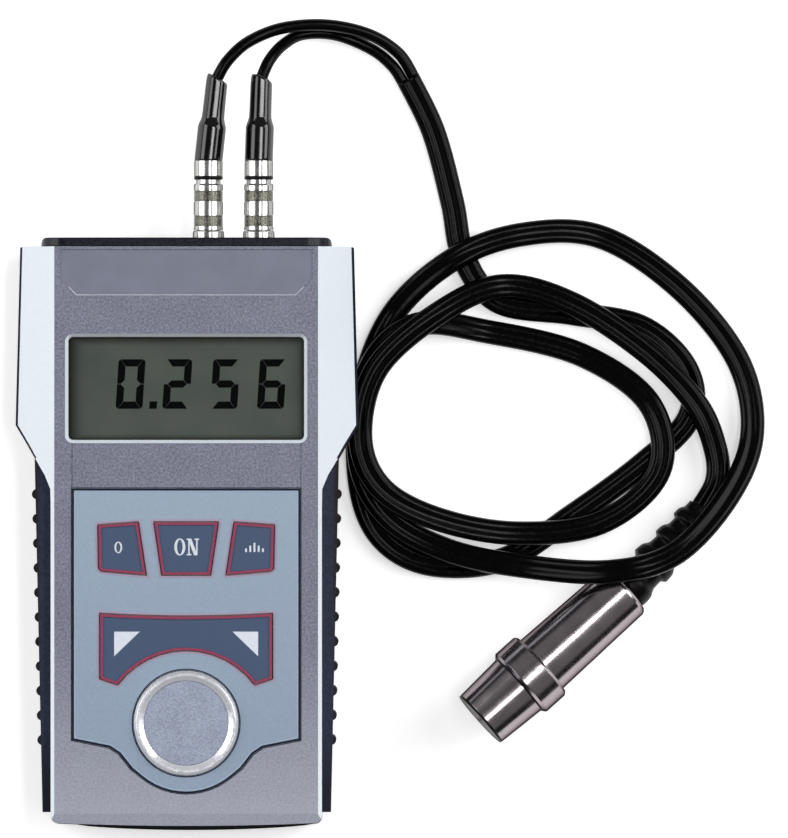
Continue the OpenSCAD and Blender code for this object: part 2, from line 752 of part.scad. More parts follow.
module window_lens() {
    color([0.75, 0.80, 0.78, 0.4]) block(
        [-window_w / 2 - ledge_lap + fit, window_y - window_h / 2 - ledge_lap + fit, lens_low_z],
        [window_w / 2 + ledge_lap - fit, window_y + window_h / 2 + ledge_lap - fit, lens_top_z]);
}
module lcd_block(grow, low_z, high_z) {
    block([-lcd_w / 2 - grow, window_y - lcd_h / 2 - grow, low_z],
        [lcd_w / 2 + grow, window_y + lcd_h / 2 + grow, high_z]);
}
module lcd_glass() {
    color([0.42, 0.44, 0.41]) lcd_block(0, lcd_low_z, lcd_top_z);
}
module lcd_holder() {
    color(black) difference() {
        lcd_block(holder_rim, board_top_z, lcd_top_z - fit);
        lcd_block(fit, lcd_low_z - fit, lcd_top_z + over);
        lcd_block(-strip_t - slip, board_top_z - over, lcd_top_z);
        lcd_strip_pair(fit, over);
    }
}
module lcd_strip_pair(gap, run_out) {
    for (side = [-1, 1])
        translate([0, window_y + side * (lcd_h / 2 - strip_t / 2 - slip), 0])
            block([-lcd_w / 2 + strip_t - gap, -strip_t / 2 - gap, board_top_z - run_out],
                [lcd_w / 2 - strip_t + gap, strip_t / 2 + gap, lcd_low_z + run_out / 2]);
}
module lcd_strips() {
    color([0.85, 0.55, 0.60]) lcd_strip_pair(0, 0);
}

module circuit_board() {
    color([0.10, 0.35, 0.20]) difference() {
        block([-board_half_w, board_low_y, board_low_z], [board_half_w, board_top_y, board_top_z]);
        both_sides() for (y = board_screw_ys)
            translate([board_screw_x, y, board_low_z - over])
                cylinder(r = board_screw_r + slip, h = board_t + 2 * over, $fn = fine_fn);
    }
}
module board_chips() {
    length = board_top_y - board_low_y;
    color(black) {
        for (i = [0:len(chip_sizes) - 1]) let (s = chip_sizes[i])
            translate([chip_shares[i][0] * board_half_w - s[0] / 2,
                board_low_y + chip_shares[i][1] * length - s[1] / 2, board_low_z - s[2]]) cube(s);
        for (i = [0:len(can_sizes) - 1]) let (s = can_sizes[i])
            translate([can_shares[i][0] * board_half_w, board_low_y + can_shares[i][1] * length,
                board_low_z - s[1]]) cylinder(r = s[0], h = s[1], $fn = fine_fn);
        block([-tail_half_w - tail_t, tail_y - tail_t, board_top_z],
            [tail_half_w + tail_t, tail_y + 2 * tail_t, board_top_z + tail_socket_h]);
    }
}
module board_screws() {
    color(steel) both_sides() for (y = board_screw_ys) translate([board_screw_x, y, 0]) {
        translate([0, 0, board_low_z - board_head_h]) cylinder(r = board_head_r, h = board_head_h, $fn = fine_fn);
        translate([0, 0, board_low_z - fit])
            cylinder(r = board_screw_r, h = board_t + board_screw_depth, $fn = fine_fn);
    }
}

// Key outlines, from shares of the film's half width and of the key row's height
function key_points(shares) = [for (p = shares)
    [p[0] * pad_w / 2, disc_y + row_top_up - p[1] * (row_top_up - row_low_up)]];
function arrow_points() = concat(
    [for (i = [-arrow_steps:arrow_steps]) let (s = i / arrow_steps)
        [s * arrow_half_w, disc_y + arrow_top_up - arrow_sag * (1 - s * s)]],
    [[arrow_half_w, disc_y + arrow_low_up + arrow_corner_rise]],
    arc(0, disc_y - arrow_arch_drop, arrow_r, arrow_arch_start, 180 - arrow_arch_start, 2 * arc_steps),
    [[-arrow_half_w, disc_y + arrow_low_up + arrow_corner_rise]]);
module key_plate(points) {
    translate([0, 0, key_low_z]) linear_extrude(key_top_z - key_rim_h - key_low_z)
        offset(delta = -key_gap) polygon(points);
    translate([0, 0, key_top_z - key_rim_h - fit]) linear_extrude(key_rim_h + fit) difference() {
        offset(delta = -key_gap) polygon(points);
        offset(delta = -key_gap - key_rim_w) polygon(points);
    }
}
module key_zero() {
    color(slate) mirror([1, 0, 0]) key_plate(key_points(zero_shares));
}
module key_vel() {
    color(slate) key_plate(key_points(zero_shares));
}
module key_on() {
    color(slate) key_plate(key_points(on_shares));
}
module key_arrows() {
    color(slate) key_plate(arrow_points());
}

module keypad_film() {
    color(film_blue) difference() {
        translate([0, 0, switch_top_z]) linear_extrude(pad_t) difference() {
            polygon(pad_outline(0));
            polygon(key_points(zero_shares));
            mirror([1, 0, 0]) polygon(key_points(zero_shares));
            polygon(key_points(on_shares));
            polygon(arrow_points());
        }
        translate([0, disc_y, 0]) cylinder(r = ring_r + slip, h = body_t + over, $fn = round_fn);
    }
}
module keypad_switches() {
    row_y = disc_y + row_low_up + dome_up_share * (row_top_up - row_low_up);
    arrow_y = disc_y + (arrow_arch_up + arrow_top_up) / 2 - arrow_sag;
    dome_row = [[-zero_dome_share * pad_w / 2, row_y], [0, row_y], [zero_dome_share * pad_w / 2, row_y],
        [-arrow_dome_share * arrow_half_w, arrow_y - dome_r], [arrow_dome_share * arrow_half_w, arrow_y - dome_r]];
    color([0.82, 0.80, 0.70]) {
        difference() {
            translate([0, 0, pad_floor_z]) linear_extrude(switch_t) polygon(pad_outline(0));
            translate([0, disc_y, 0]) cylinder(r = ring_r + slip, h = body_t + over, $fn = round_fn);
        }
        for (p = dome_row) translate([p[0], p[1], switch_top_z - fit])
            cylinder(r1 = dome_r, r2 = dome_r / 2, h = dome_h + fit, $fn = fine_fn);
        translate([0, arrow_y, 0]) rotate([90, 0, 0])
            linear_extrude(arrow_top_up - arrow_arch_up - 2 * arrow_sag, center = true)
            polygon([[-pivot_half_w, switch_top_z - fit], [pivot_half_w, switch_top_z - fit],
                [0, key_low_z - fit]]);
        tail_slot(0);
    }
}

module test_block() {
    color(steel) translate([0, disc_y, block_low_z]) cylinder(r = block_r, h = block_t, $fn = round_fn);
}
// The bright ring is rounded off outside and slopes in to the block
module test_block_ring() {
    ring_top_z = body_t + ring_proud;
    edge = (ring_r - block_r) / 4;
    color(chrome) translate([0, disc_y, 0]) rotate_extrude($fn = round_fn) polygon([
        [block_r + fit, pad_floor_z], [ring_r, pad_floor_z], [ring_r, ring_top_z - edge],
        [ring_r - edge, ring_top_z], [ring_r - 2 * edge, ring_top_z], [block_r + fit, block_top_z]]);
}

module battery_cells() {
    color([0.20, 0.22, 0.26]) for (side = [-1, 1]) translate([side * (cell_r + cell_gap / 2), cell_low_y, cell_z])
        rotate([-90, 0, 0]) {
            cylinder(r = cell_r, h = cell_l - button_h, $fn = round_fn);
            translate([0, 0, side > 0 ? cell_l - button_h - fit : -button_h])
                cylinder(r = button_r, h = button_h + fit, $fn = fine_fn);
        }
}
module battery_contacts() {
    color(chrome) for (y = [bay_low_y + bay_wall, bay_top_y - contact_t]) both_sides()
        block([cell_r + cell_gap / 2 - contact_half_w, y, cell_z - contact_half_w],
            [cell_r + cell_gap / 2 + contact_half_w, y + contact_t, cell_z + contact_half_w]);
}
// A pressed-down conical spring behind each flat end
module battery_springs() {
    low_l = cell_low_y - bay_low_y - bay_wall - contact_t;
    high_l = bay_top_y - contact_t - cell_high_y;
    x = cell_r + cell_gap / 2;
    color(steel) {
        translate([x, bay_low_y + bay_wall + contact_t, cell_z]) rotate([-90, 0, 0])
            cylinder(r1 = spring_wide_r, r2 = spring_small_r, h = low_l, $fn = fine_fn);
        translate([-x, cell_high_y, cell_z]) rotate([-90, 0, 0])
            cylinder(r1 = spring_small_r, r2 = spring_wide_r, h = high_l, $fn = fine_fn);
    }
}
module case_screws() {
    color(steel) both_sides() for (y = case_ys) translate([case_x, y, 0]) {
        translate([0, 0, screw_seat_z - screw_head_h]) cylinder(r = screw_head_r, h = screw_head_h, $fn = fine_fn);
        translate([0, 0, screw_seat_z - fit]) cylinder(r = screw_r, h = screw_top_z - screw_seat_z, $fn = fine_fn);
    }
}

// A panel socket: ring outside the cap, threaded barrel through it, closed back with a pin
module socket(x) {
    back_y = cap_y + socket_ring_l - socket_depth;
    color(chrome) turned([
        [0, back_y - socket_back_l - cap_y], [nose_r, back_y - socket_back_l - cap_y],
        [nose_r, back_y - cap_y - socket_wall], [socket_thread_r, back_y - cap_y - socket_wall],
        [socket_thread_r, 0], [socket_ring_r, 0], [socket_ring_r, (1 - socket_edge_share) * socket_ring_l],
        [socket_ring_r - socket_edge_share * socket_ring_l, socket_ring_l], [nose_r + fit, socket_ring_l],
        [nose_r + fit, back_y - cap_y], [0, back_y - cap_y]], x, cap_y, socket_z);
}
module socket_left() {
    socket(socket_xs[0]);
}
module socket_right() {
    socket(socket_xs[1]);
}
module socket_nuts() {
    color(chrome) for (x = socket_xs) difference() {
        translate([x, top_y - cap_lip - socket_nut_l, socket_z]) rotate([-90, 0, 0])
            cylinder(r = socket_nut_r, h = socket_nut_l, $fn = 6);
        rod(socket_thread_r + fit, socket_nut_l + 2 * over, x, top_y - cap_lip - socket_nut_l - over, socket_z);
    }
}
// Two short wires from the sockets' backs, up and over to the board
module socket_wires() {
    socket_low_y = cap_y + socket_ring_l - socket_depth - socket_back_l;
    rise_y = socket_low_y - 2 * wire_r;
    drop_y = board_top_y - wire_drop_share * board_screw_inset;
    high_z = socket_z + wire_rise_share * board_t;
    thin_r = wire_thin_share * wire_r;
    color([0.75, 0.20, 0.15]) for (x = socket_xs) {
        rod(thin_r, socket_low_y - rise_y, x, rise_y, socket_z);
        rod(thin_r, rise_y - drop_y, x, drop_y, high_z - wire_r);
        translate([x, drop_y, board_top_z]) cylinder(r = wire_r, h = high_z - board_top_z, $fn = fine_fn);
        translate([x, rise_y, socket_z - wire_r]) cylinder(r = wire_r, h = high_z - socket_z + wire_r, $fn = fine_fn);
    }
}

// A plug: nose in the socket, core under the release sleeve, stub inside the collet nut
module plug(x) {
    nose_y = cap_y + socket_ring_l - socket_depth + nose_tip_gap;
    color(chrome) turned([
        [0, 0], [nose_r - nose_tip_gap, 0], [nose_r, nose_tip_gap],
        [nose_r, sleeve_start_y - nose_y - slip / 2], [core_r, sleeve_start_y - nose_y - slip / 2],
        [core_r, collet_y - nose_y], [tail_stub_r, collet_y - nose_y],
        [tail_stub_r, collet_y + tail_stub - nose_y], [0, collet_y + tail_stub - nose_y]],
        x, nose_y, socket_z);
}
module plug_left() {
    plug(socket_xs[0]);
}
module plug_right() {
    plug(socket_xs[1]);
}
// The release sleeve, with a knurled band near each end
module sleeve(x) {
    bore = core_r + fit;
    low_band = band_low_share * band_l;
    high_band = sleeve_l - band_high_share * band_l;
    edge = band_depth;
    color(chrome) turned([
        [bore, 0], [plug_r, 0], [plug_r, low_band], [plug_r - band_depth, low_band],
        [plug_r - band_depth, low_band + band_l], [plug_r, low_band + band_l],
        [plug_r, high_band], [plug_r - band_depth, high_band],
        [plug_r - band_depth, high_band + band_l], [plug_r, high_band + band_l],
        [plug_r, sleeve_l - 2 * edge], [plug_r - edge, sleeve_l], [bore, sleeve_l]],
        x, sleeve_start_y, socket_z);
}
module sleeve_left() {
    sleeve(socket_xs[0]);
}
module sleeve_right() {
    sleeve(socket_xs[1]);
}
module collet(x) {
    groove = collet_l / 5;
    color(chrome) turned([
        [tail_stub_r + fit, 0], [collet_r - band_depth, 0], [collet_r - band_depth, groove],
        [collet_r, groove], [collet_r, collet_l], [0, collet_l], [0, tail_stub + fit],
        [tail_stub_r + fit, tail_stub + fit]], x, collet_y, socket_z);
}
module collet_left() {
    collet(socket_xs[0]);
}
module collet_right() {
    collet(socket_xs[1]);
}
// A shrunk boot runs from the collet nut to the start of its cable, with a shoulder part way
module boot(x, route) {
    start = [x, collet_end_y, socket_z];
    path = [for (p = boot_shares) start + (route[0] - start) * p[0]];
    last_way = heading(sampled(route, lead_rings), 0);
    ways = [for (i = [0:len(path) - 1])
        i == 0 ? [0, 1, 0] : i == len(path) - 1 ? last_way : unit(route[0] - start)];
    color(black) skin([for (i = [0:len(path) - 1]) let (r = collet_r * boot_shares[i][1])
        ring(path[i], ways[i], r, r, 2 * cord_sides)]);
}
module boot_left() {
    boot(socket_xs[0], left_route);
}
module boot_right() {
    boot(socket_xs[1], right_route);
}

// Each lead ends against its half of the twin cable's first face
twin_path = sampled(twin_route, twin_rings);
twin_first_way = heading(twin_path, 0);
twin_last_way = heading(twin_path, twin_rings - 1);
module lead(route, side) {
    across = unit([-twin_first_way[1], twin_first_way[0], 0]);
    cable(concat(route, [twin_route[0] + side * lead_r * across]), lead_rings, lead_r, lead_r, twin_first_way);
}
module lead_left() {
    color(black) lead(left_route, 1);
}
module lead_right() {
    color(black) lead(right_route, -1);
}
module twin_cable() {
    color(black) cable(twin_route, twin_rings, 2 * lead_r, lead_r);
}

// The probe's own frame: its axis is +Y, its tail at the origin
module probe_frame() {
    translate([probe_tail_x, probe_tail_y, probe_tail_z])
        rotate([0, 0, probe_turn - 90]) rotate([-probe_lean, 0, 0]) children();
}
module probe_turned(points) {
    probe_frame() turned(points, 0, -probe_l, 0);
}
module probe_nose() {
    edge = bevel_share * tip_r;
    color(steel) probe_turned([
        [delay_r + fit, 0], [tip_r - edge, 0], [tip_r, edge], [nose_root_r, tip_l - fit],
        [nose_root_r, tip_l], [0, tip_l], [0, delay_depth + crystal_t + 2 * fit],
        [delay_r + fit, delay_depth + crystal_t + 2 * fit]]);
}
module probe_collar() {
    edge = bevel_share * collar_r;
    color(steel) probe_turned([
        [0, tip_l], [collar_r - edge, tip_l], [collar_r, tip_l + edge],
        [collar_r, tip_l + collar_l - edge], [collar_r - edge, tip_l + collar_l], [0, tip_l + collar_l]]);
}
module probe_body() {
    start = tip_l + collar_l;
    edge = bevel_share * tail_r;
    hollow_r = tail_r - 2 * edge - delay_wall;
    color(steel) probe_turned([
        [hollow_r, start], [body_r, start], [tail_r + edge / 2, probe_l - 2 * edge],
        [tail_r, probe_l - edge], [tail_r - edge, probe_l], [0, probe_l],
        [0, start + backing_l + fit], [hollow_r, start + backing_l + fit]]);
}
module probe_backing() {
    start = tip_l + collar_l;
    edge = bevel_share * tail_r;
    color([0.25, 0.20, 0.15]) probe_turned([
        [0, start], [tail_r - 2 * edge - delay_wall - fit, start],
        [tail_r - 2 * edge - delay_wall - fit, start + backing_l], [0, start + backing_l]]);
}
// Half of a round block on one side of the sound barrier
module probe_half(side, r, from, to) {
    probe_frame() intersection() {
        turned([[0, from], [r, from], [r, to], [0, to]], 0, -probe_l, 0);
        block([side > 0 ? barrier_t / 2 : -2 * r, -2 * probe_l, -2 * r],
            [side > 0 ? 2 * r : -barrier_t / 2, probe_l, 2 * r]);
    }
}
module delay_blocks() {
    color([0.78, 0.70, 0.50]) for (side = [-1, 1]) probe_half(side, delay_r, 0, delay_depth);
}
module crystals() {
    color([0.80, 0.76, 0.60]) for (side = [-1, 1])
        probe_half(side, delay_r - delay_wall, delay_depth, delay_depth + crystal_t);
}
module sound_barrier() {
    color([0.50, 0.34, 0.20]) probe_frame() intersection() {
        turned([[0, 0], [delay_r, 0], [delay_r, delay_depth + crystal_t], [0, delay_depth + crystal_t]],
            0, -probe_l, 0);
        block([-barrier_t / 2, -2 * probe_l, -2 * delay_r], [barrier_t / 2, probe_l, 2 * delay_r]);
    }
}

// The ribbed relief bends from the probe's tail to the end of the twin cable
module strain_relief() {
    tail = [probe_tail_x, probe_tail_y, probe_tail_z];
    tip = twin_route[len(twin_route) - 1];
    out = [cos(probe_turn) * cos(probe_lean), sin(probe_turn) * cos(probe_lean), -sin(probe_lean)];
    knee = tail + out * relief_knee_share * norm(tip - tail);
    last = relief_ribs * relief_steps;
    path = [for (i = [0:last]) let (t = i / last)
        (1 - t) * (1 - t) * tail + 2 * t * (1 - t) * knee + t * t * tip];
    color(black) skin([for (i = [0:last]) let (
        t = i / last,
        plain = relief_r + (relief_tip_r - relief_r) * t,
        phase = i % relief_steps,
        r = (i == last || phase >= relief_steps / 2) ? plain * (1 - relief_rib_share) : plain)
        ring(path[i], i == 0 ? out : i == last ? -twin_last_way : heading(path, i), r, r,
            2 * cord_sides)]);
}

front_shell();
rear_shell();
top_cap();
grip_left();
grip_right();
window_lens();
lcd_glass();
lcd_holder();
lcd_strips();
circuit_board();
board_chips();
board_screws();
keypad_film();
keypad_switches();
key_zero();
key_on();
key_vel();
key_arrows();
test_block();
test_block_ring();
battery_door();
battery_cells();
battery_contacts();
battery_springs();
case_screws();
socket_left();
socket_right();
socket_nuts();
socket_wires();
plug_left();
plug_right();
sleeve_left();
sleeve_right();
collet_left();
collet_right();
boot_left();
boot_right();
lead_left();
lead_right();
twin_cable();
strain_relief();
probe_nose();
probe_collar();
probe_body();
delay_blocks();
sound_barrier();
crystals();
probe_backing();
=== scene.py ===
"""Looks of the hand-held ultrasonic thickness gauge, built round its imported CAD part."""

import json
import math

import bpy
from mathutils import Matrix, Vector


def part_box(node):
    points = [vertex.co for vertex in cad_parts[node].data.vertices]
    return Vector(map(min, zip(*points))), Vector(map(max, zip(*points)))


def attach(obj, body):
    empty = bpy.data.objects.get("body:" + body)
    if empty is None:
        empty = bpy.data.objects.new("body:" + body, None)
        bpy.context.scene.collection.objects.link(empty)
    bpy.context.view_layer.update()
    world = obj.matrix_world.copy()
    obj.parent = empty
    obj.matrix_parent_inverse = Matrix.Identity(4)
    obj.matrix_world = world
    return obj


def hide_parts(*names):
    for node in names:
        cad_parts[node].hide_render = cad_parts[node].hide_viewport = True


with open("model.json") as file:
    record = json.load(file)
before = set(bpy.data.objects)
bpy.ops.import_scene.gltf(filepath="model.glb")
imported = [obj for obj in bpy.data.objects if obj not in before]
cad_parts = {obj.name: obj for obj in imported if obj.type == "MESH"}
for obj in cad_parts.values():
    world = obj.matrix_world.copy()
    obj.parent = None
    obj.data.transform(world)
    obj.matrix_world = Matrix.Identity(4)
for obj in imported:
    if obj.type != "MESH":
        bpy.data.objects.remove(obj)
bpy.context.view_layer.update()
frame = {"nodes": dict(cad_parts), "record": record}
MM = 0.001

# Camera: straight above the row-frame point (in millimetres) at the photograph's middle, with
# the photograph's scale true at SCALE_HEIGHT
IMAGE_W = 788
MM_PER_PIXEL = 0.2147
MIDDLE = (44.44, 24.76)
CAMERA_HEIGHT = 3.0
SCALE_HEIGHT = 0.0125
SENSOR = 36.0
CLIP_START, CLIP_END = 0.01, 20

# Names of the bodies that pieces ride on
HOUSING = "housing"
PROBE_SET = "probe_set"
SLEEVES = ("release_sleeve_left", "release_sleeve_right")
SIDES = ("left", "right")


def srgb(red, green, blue):
    """A colour as read from a screen, 0 to 255, made linear."""

    def linear(value):
        share = value / 255
        return share / 12.92 if share <= 0.04045 else ((share + 0.055) / 1.055) ** 2.4

    return (linear(red), linear(green), linear(blue), 1.0)


# ---- camera ----


def make_camera():
    data = bpy.data.cameras.new("camera")
    data.sensor_fit = "HORIZONTAL"
    data.sensor_width = SENSOR
    width = IMAGE_W * MM_PER_PIXEL * MM
    data.lens = SENSOR * (CAMERA_HEIGHT - SCALE_HEIGHT) / width
    data.clip_start, data.clip_end = CLIP_START, CLIP_END
    camera = bpy.data.objects.new("camera", data)
    camera.location = (MIDDLE[0] * MM, MIDDLE[1] * MM, CAMERA_HEIGHT)
    bpy.context.scene.collection.objects.link(camera)
    bpy.context.scene.camera = camera


make_camera()


# ---- materials ----

# Most values of a noise lie between these two
NOISE_LOW, NOISE_HIGH = 0.3, 0.7


def set_stops(colour_ramp, stops):
    """Give a colour ramp its stops, as places and colours."""
    while len(colour_ramp.elements) < len(stops):
        colour_ramp.elements.new(0.5)
    for element, (place, colour) in zip(colour_ramp.elements, stops):
        element.position = place
        element.color = colour


class Nodes:
    """A new material's node tree, with short ways to add to it."""

    def __init__(self, name):
        self.material = bpy.data.materials.new(name)
        self.material.use_nodes = True
        self.tree = self.material.node_tree
        self.shader = self.tree.nodes["Principled BSDF"]
        self.places = self.new("ShaderNodeTexCoord").outputs["Object"]

    def new(self, kind, **settings):
        made = self.tree.nodes.new(kind)
        for name, value in settings.items():
            setattr(made, name, value)
        return made

    def feed(self, source, target):
        self.tree.links.new(source, target)

    def noise(self, scale, detail=3.0, roughness=0.55):
        made = self.new("ShaderNodeTexNoise")
        for name, number in (("Scale", scale), ("Detail", detail), ("Roughness", roughness)):
            made.inputs[name].default_value = number
        self.feed(self.places, made.inputs["Vector"])
        return made.outputs["Fac"]

    def ramp(self, value, stops):
        made = self.new("ShaderNodeValToRGB")
        set_stops(made.color_ramp, stops)
        self.feed(value, made.inputs["Fac"])
        return made.outputs["Color"]

    def grade(self, value, dark, light, low=NOISE_LOW, high=NOISE_HIGH):
        """A colour that goes from dark to light as value goes from low to high."""
        return self.ramp(value, [(low, dark), (high, light)])

    def span(self, value, low, high, to_low=0.0, to_high=1.0):
        """Value mapped from low..high to to_low..to_high, and held there."""
        made = self.new("ShaderNodeMapRange")
        limits = {"From Min": low, "From Max": high, "To Min": to_low, "To Max": to_high}
        for name, number in limits.items():
            made.inputs[name].default_value = number
        self.feed(value, made.inputs["Value"])
        return made.outputs["Result"]

    def math(self, operation, first, second=None):
        made = self.new("ShaderNodeMath", operation=operation)
        for value, socket in zip((first, second), made.inputs):
            if value is None:
                continue
            if isinstance(value, (int, float)):
                socket.default_value = value
            else:
                self.feed(value, socket)
        return made.outputs["Value"]

    def weigh(self, first, second, share):
        """The weighted mean of two values, with the share of the first."""
        return self.math("ADD", self.math("MULTIPLY", first, share), self.math("MULTIPLY", second, 1 - share))

    def mix(self, share, first, second):
        """A colour between two: all the first at share 0, and all the second at 1."""
        made = self.new("ShaderNodeMix", data_type="RGBA")
        self.feed(share, made.inputs["Factor"])
        for value, name in ((first, "A"), (second, "B")):
            socket = [s for s in made.inputs if s.name == name and s.type == "RGBA"][0]
            if isinstance(value, tuple):
                socket.default_value = value
            else:
                self.feed(value, socket)
        return [s for s in made.outputs if s.type == "RGBA"][0]

    def axes(self, source):
        made = self.new("ShaderNodeSeparateXYZ")
        self.feed(source, made.inputs["Vector"])
        return made.outputs["X"], made.outputs["Y"], made.outputs["Z"]

    def surface(self, colour, value, rough_low, rough_high, low=NOISE_LOW, high=NOISE_HIGH):
        """Feed the shader its colour, and a roughness that follows value."""
        self.feed(colour, self.shader.inputs["Base Color"])
        self.feed(self.span(value, low, high, rough_low, rough_high), self.shader.inputs["Roughness"])

    def relief(self, height, strength, distance, edge=0.0):
        """Bump from a height, on edges that are rounded off by a small radius."""
        bump = self.new("ShaderNodeBump")
        bump.inputs["Strength"].default_value = strength
        bump.inputs["Distance"].default_value = distance
        self.feed(height, bump.inputs["Height"])
        if edge:
            bevel = self.new("ShaderNodeBevel", samples=4)
            bevel.inputs["Radius"].default_value = edge
            self.feed(bevel.outputs["Normal"], bump.inputs["Normal"])
        self.feed(bump.outputs["Normal"], self.shader.inputs["Normal"])

    def set(self, **values):
        for name, value in values.items():
            self.shader.inputs[name.replace("_", " ")].default_value = value


def shade(colour, factor):
    """A colour made darker or lighter, and held at full light."""
    return tuple(min(1.0, c * factor) for c in colour[:3]) + (1.0,)


def plain(name, colour, rough, grain=900, vary=0.12, bump=0.15, depth=0.00005, metal=0.0, edge=0.00015,
          rough_vary=0.08, **extra):
    """A moulded, painted or plated surface: colour, roughness and bump all vary with a fine grain."""
    n = Nodes(name)
    value = n.noise(grain)
    n.surface(n.grade(value, shade(colour, 1 - vary), shade(colour, 1 + vary)), value,
              rough - rough_vary, rough + rough_vary)
    n.relief(value, bump, depth, edge)
    n.set(Metallic=metal, **extra)
    return n.material


# Pearl paint for the flanks and bevels, made lighter as a painted highlight from the lamps
PEARL_HIGHLIGHT = srgb(238, 246, 255)
FACE_GREY = srgb(119, 122, 138)
LABEL_GREY = srgb(118, 122, 138)
# Lighter grey of the foot's sloping bevel: a painted highlight
FOOT_HIGHLIGHT_GREY = srgb(180, 183, 198)
LOW_FACE_GREY = srgb(158, 161, 174)
SPECKLE_LOW, SPECKLE_HIGH = 0.34, 0.66

# Where each field of the shell starts and is full: a part of the surface's normal, or a place in metres
FLANK_NORMAL_X = (0.2, 0.3)
BEVEL_NORMAL_Y, BEVEL_Y = (0.5, 0.6), (-0.0505, -0.0495)
LABEL_Z, LABEL_Y = (0.02492, 0.02488), (0.0500, 0.0502)
FOOT_NORMAL_Z, FOOT_FIELD_Y = (0.9, 0.85), (-0.0592, -0.0598)
LOW_FACE_Y = (-0.0225, -0.0585)


def speckled(n, speckle, colour, low, high):
    return n.grade(speckle, shade(colour, low), shade(colour, high), SPECKLE_LOW, SPECKLE_HIGH)


def shell_material():
    """Silver paint: a speckled grey face that grows lighter towards the foot, a smoother label field, and
    pearl flanks and bevels whose light colour also paints the highlight they catch from the lamps, as the
    lighter grey of the foot's bevel does.
    """
    n = Nodes("shell_silver")
    fine = n.noise(2000, roughness=0.7)
    cloud = n.noise(160, 2)
    speckle = n.weigh(fine, cloud, 0.88)
    face = n.ramp(speckle, [(SPECKLE_LOW, shade(FACE_GREY, 0.6)), (0.5, FACE_GREY),
                            (SPECKLE_HIGH, shade(FACE_GREY, 1.44))])
    low_face = speckled(n, speckle, LOW_FACE_GREY, 0.86, 1.14)
    foot_highlight = speckled(n, speckle, FOOT_HIGHLIGHT_GREY, 0.85, 1.15)
    label = n.grade(cloud, shade(LABEL_GREY, 0.95), shade(LABEL_GREY, 1.06))
    pearl_highlight = n.grade(fine, shade(PEARL_HIGHLIGHT, 0.96), shade(PEARL_HIGHLIGHT, 1.03))
    y, z = n.axes(n.places)[1:]
    normal_x, normal_y, normal_z = n.axes(n.new("ShaderNodeNewGeometry").outputs["Normal"])
    flank = n.span(n.math("ABSOLUTE", normal_x), *FLANK_NORMAL_X)
    bevel = n.math("MULTIPLY", n.span(n.math("ABSOLUTE", normal_y), *BEVEL_NORMAL_Y), n.span(y, *BEVEL_Y))
    sunk = n.math("MULTIPLY", n.span(z, *LABEL_Z), n.span(y, *LABEL_Y))
    # The foot's sloping bevel, which takes the painted highlight
    foot = n.math("MULTIPLY", n.span(y, *FOOT_FIELD_Y), n.span(normal_z, *FOOT_NORMAL_Z))
    face = n.mix(n.span(y, *LOW_FACE_Y), face, low_face)
    face = n.mix(foot, n.mix(sunk, face, label), foot_highlight)
    # Sloped flanks and bevels take the pearl colour: a lighter paint plus a painted highlight
    n.surface(n.mix(n.math("MAXIMUM", flank, bevel), face, pearl_highlight), fine, 0.38, 0.5)
    n.relief(speckle, 0.25, 0.00006, 0.0002)
    n.set(Specular_IOR_Level=0.25)
    return n.material


RIB_X = (0.0312, 0.0322)
GRIP_FOOT_Y = (-0.04, -0.055)


def grip_material():
    """Navy rubber: browner on the ribs that stand out at the sides, and darker towards the foot."""
    n = Nodes("grip_rubber")
    grain = n.noise(1400)
    x, y = n.axes(n.places)[:2]
    inner = n.grade(grain, srgb(32, 36, 52), srgb(46, 52, 72))
    inner = n.mix(n.span(y, *GRIP_FOOT_Y), inner, srgb(21, 21, 35))
    rib = n.grade(grain, srgb(19, 14, 20), srgb(42, 33, 38))
    n.surface(n.mix(n.span(n.math("ABSOLUTE", x), *RIB_X), inner, rib), grain, 0.5, 0.68)
    n.relief(grain, 0.3, 0.00008, 0.0002)
    n.set(Specular_IOR_Level=0.2)
    return n.material


# The display's rim lies this far under the window's frame, and the painted shade along its edges is this wide
# at each side
LCD_SIDE_LAP, LCD_END_LAP = 0.0008, 0.0016
LCD_LEFT_SHADE_W, LCD_RIGHT_SHADE_W, LCD_TOP_SHADE_W, LCD_FOOT_SHADE_W = 0.0034, 0.0014, 0.0022, 0.0014
LCD_SHADE_FALL = 1.6


def lcd_material():
    """Grey-green display, with painted shade that darkens it towards its rim under the window's frame."""
    n = Nodes("lcd")
    low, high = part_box("lcd_glass")
    x, y = n.axes(n.places)[:2]
    cloud = n.noise(90, 2)
    left, right = low.x + LCD_SIDE_LAP, high.x - LCD_SIDE_LAP
    foot, top = low.y + LCD_END_LAP, high.y - LCD_END_LAP
    # Painted shade along each edge of the sunken display
    dark = n.span(x, left, left + LCD_LEFT_SHADE_W, 1, 0)
    for edge in (n.span(x, right - LCD_RIGHT_SHADE_W, right), n.span(y, top - LCD_TOP_SHADE_W, top),
                 n.span(y, foot, foot + LCD_FOOT_SHADE_W, 1, 0)):
        dark = n.math("MAXIMUM", dark, edge)
    pale = n.grade(cloud, srgb(79, 86, 80), srgb(87, 93, 87))
    n.surface(n.mix(n.math("POWER", dark, LCD_SHADE_FALL), pale, srgb(34, 33, 28)), cloud, 0.32, 0.4)
    n.relief(n.noise(4000, 2), 0.05, 0.00002)
    n.set(Specular_IOR_Level=0.06)
    return n.material


FILM_FADE_Y = (-0.05, 0.01)


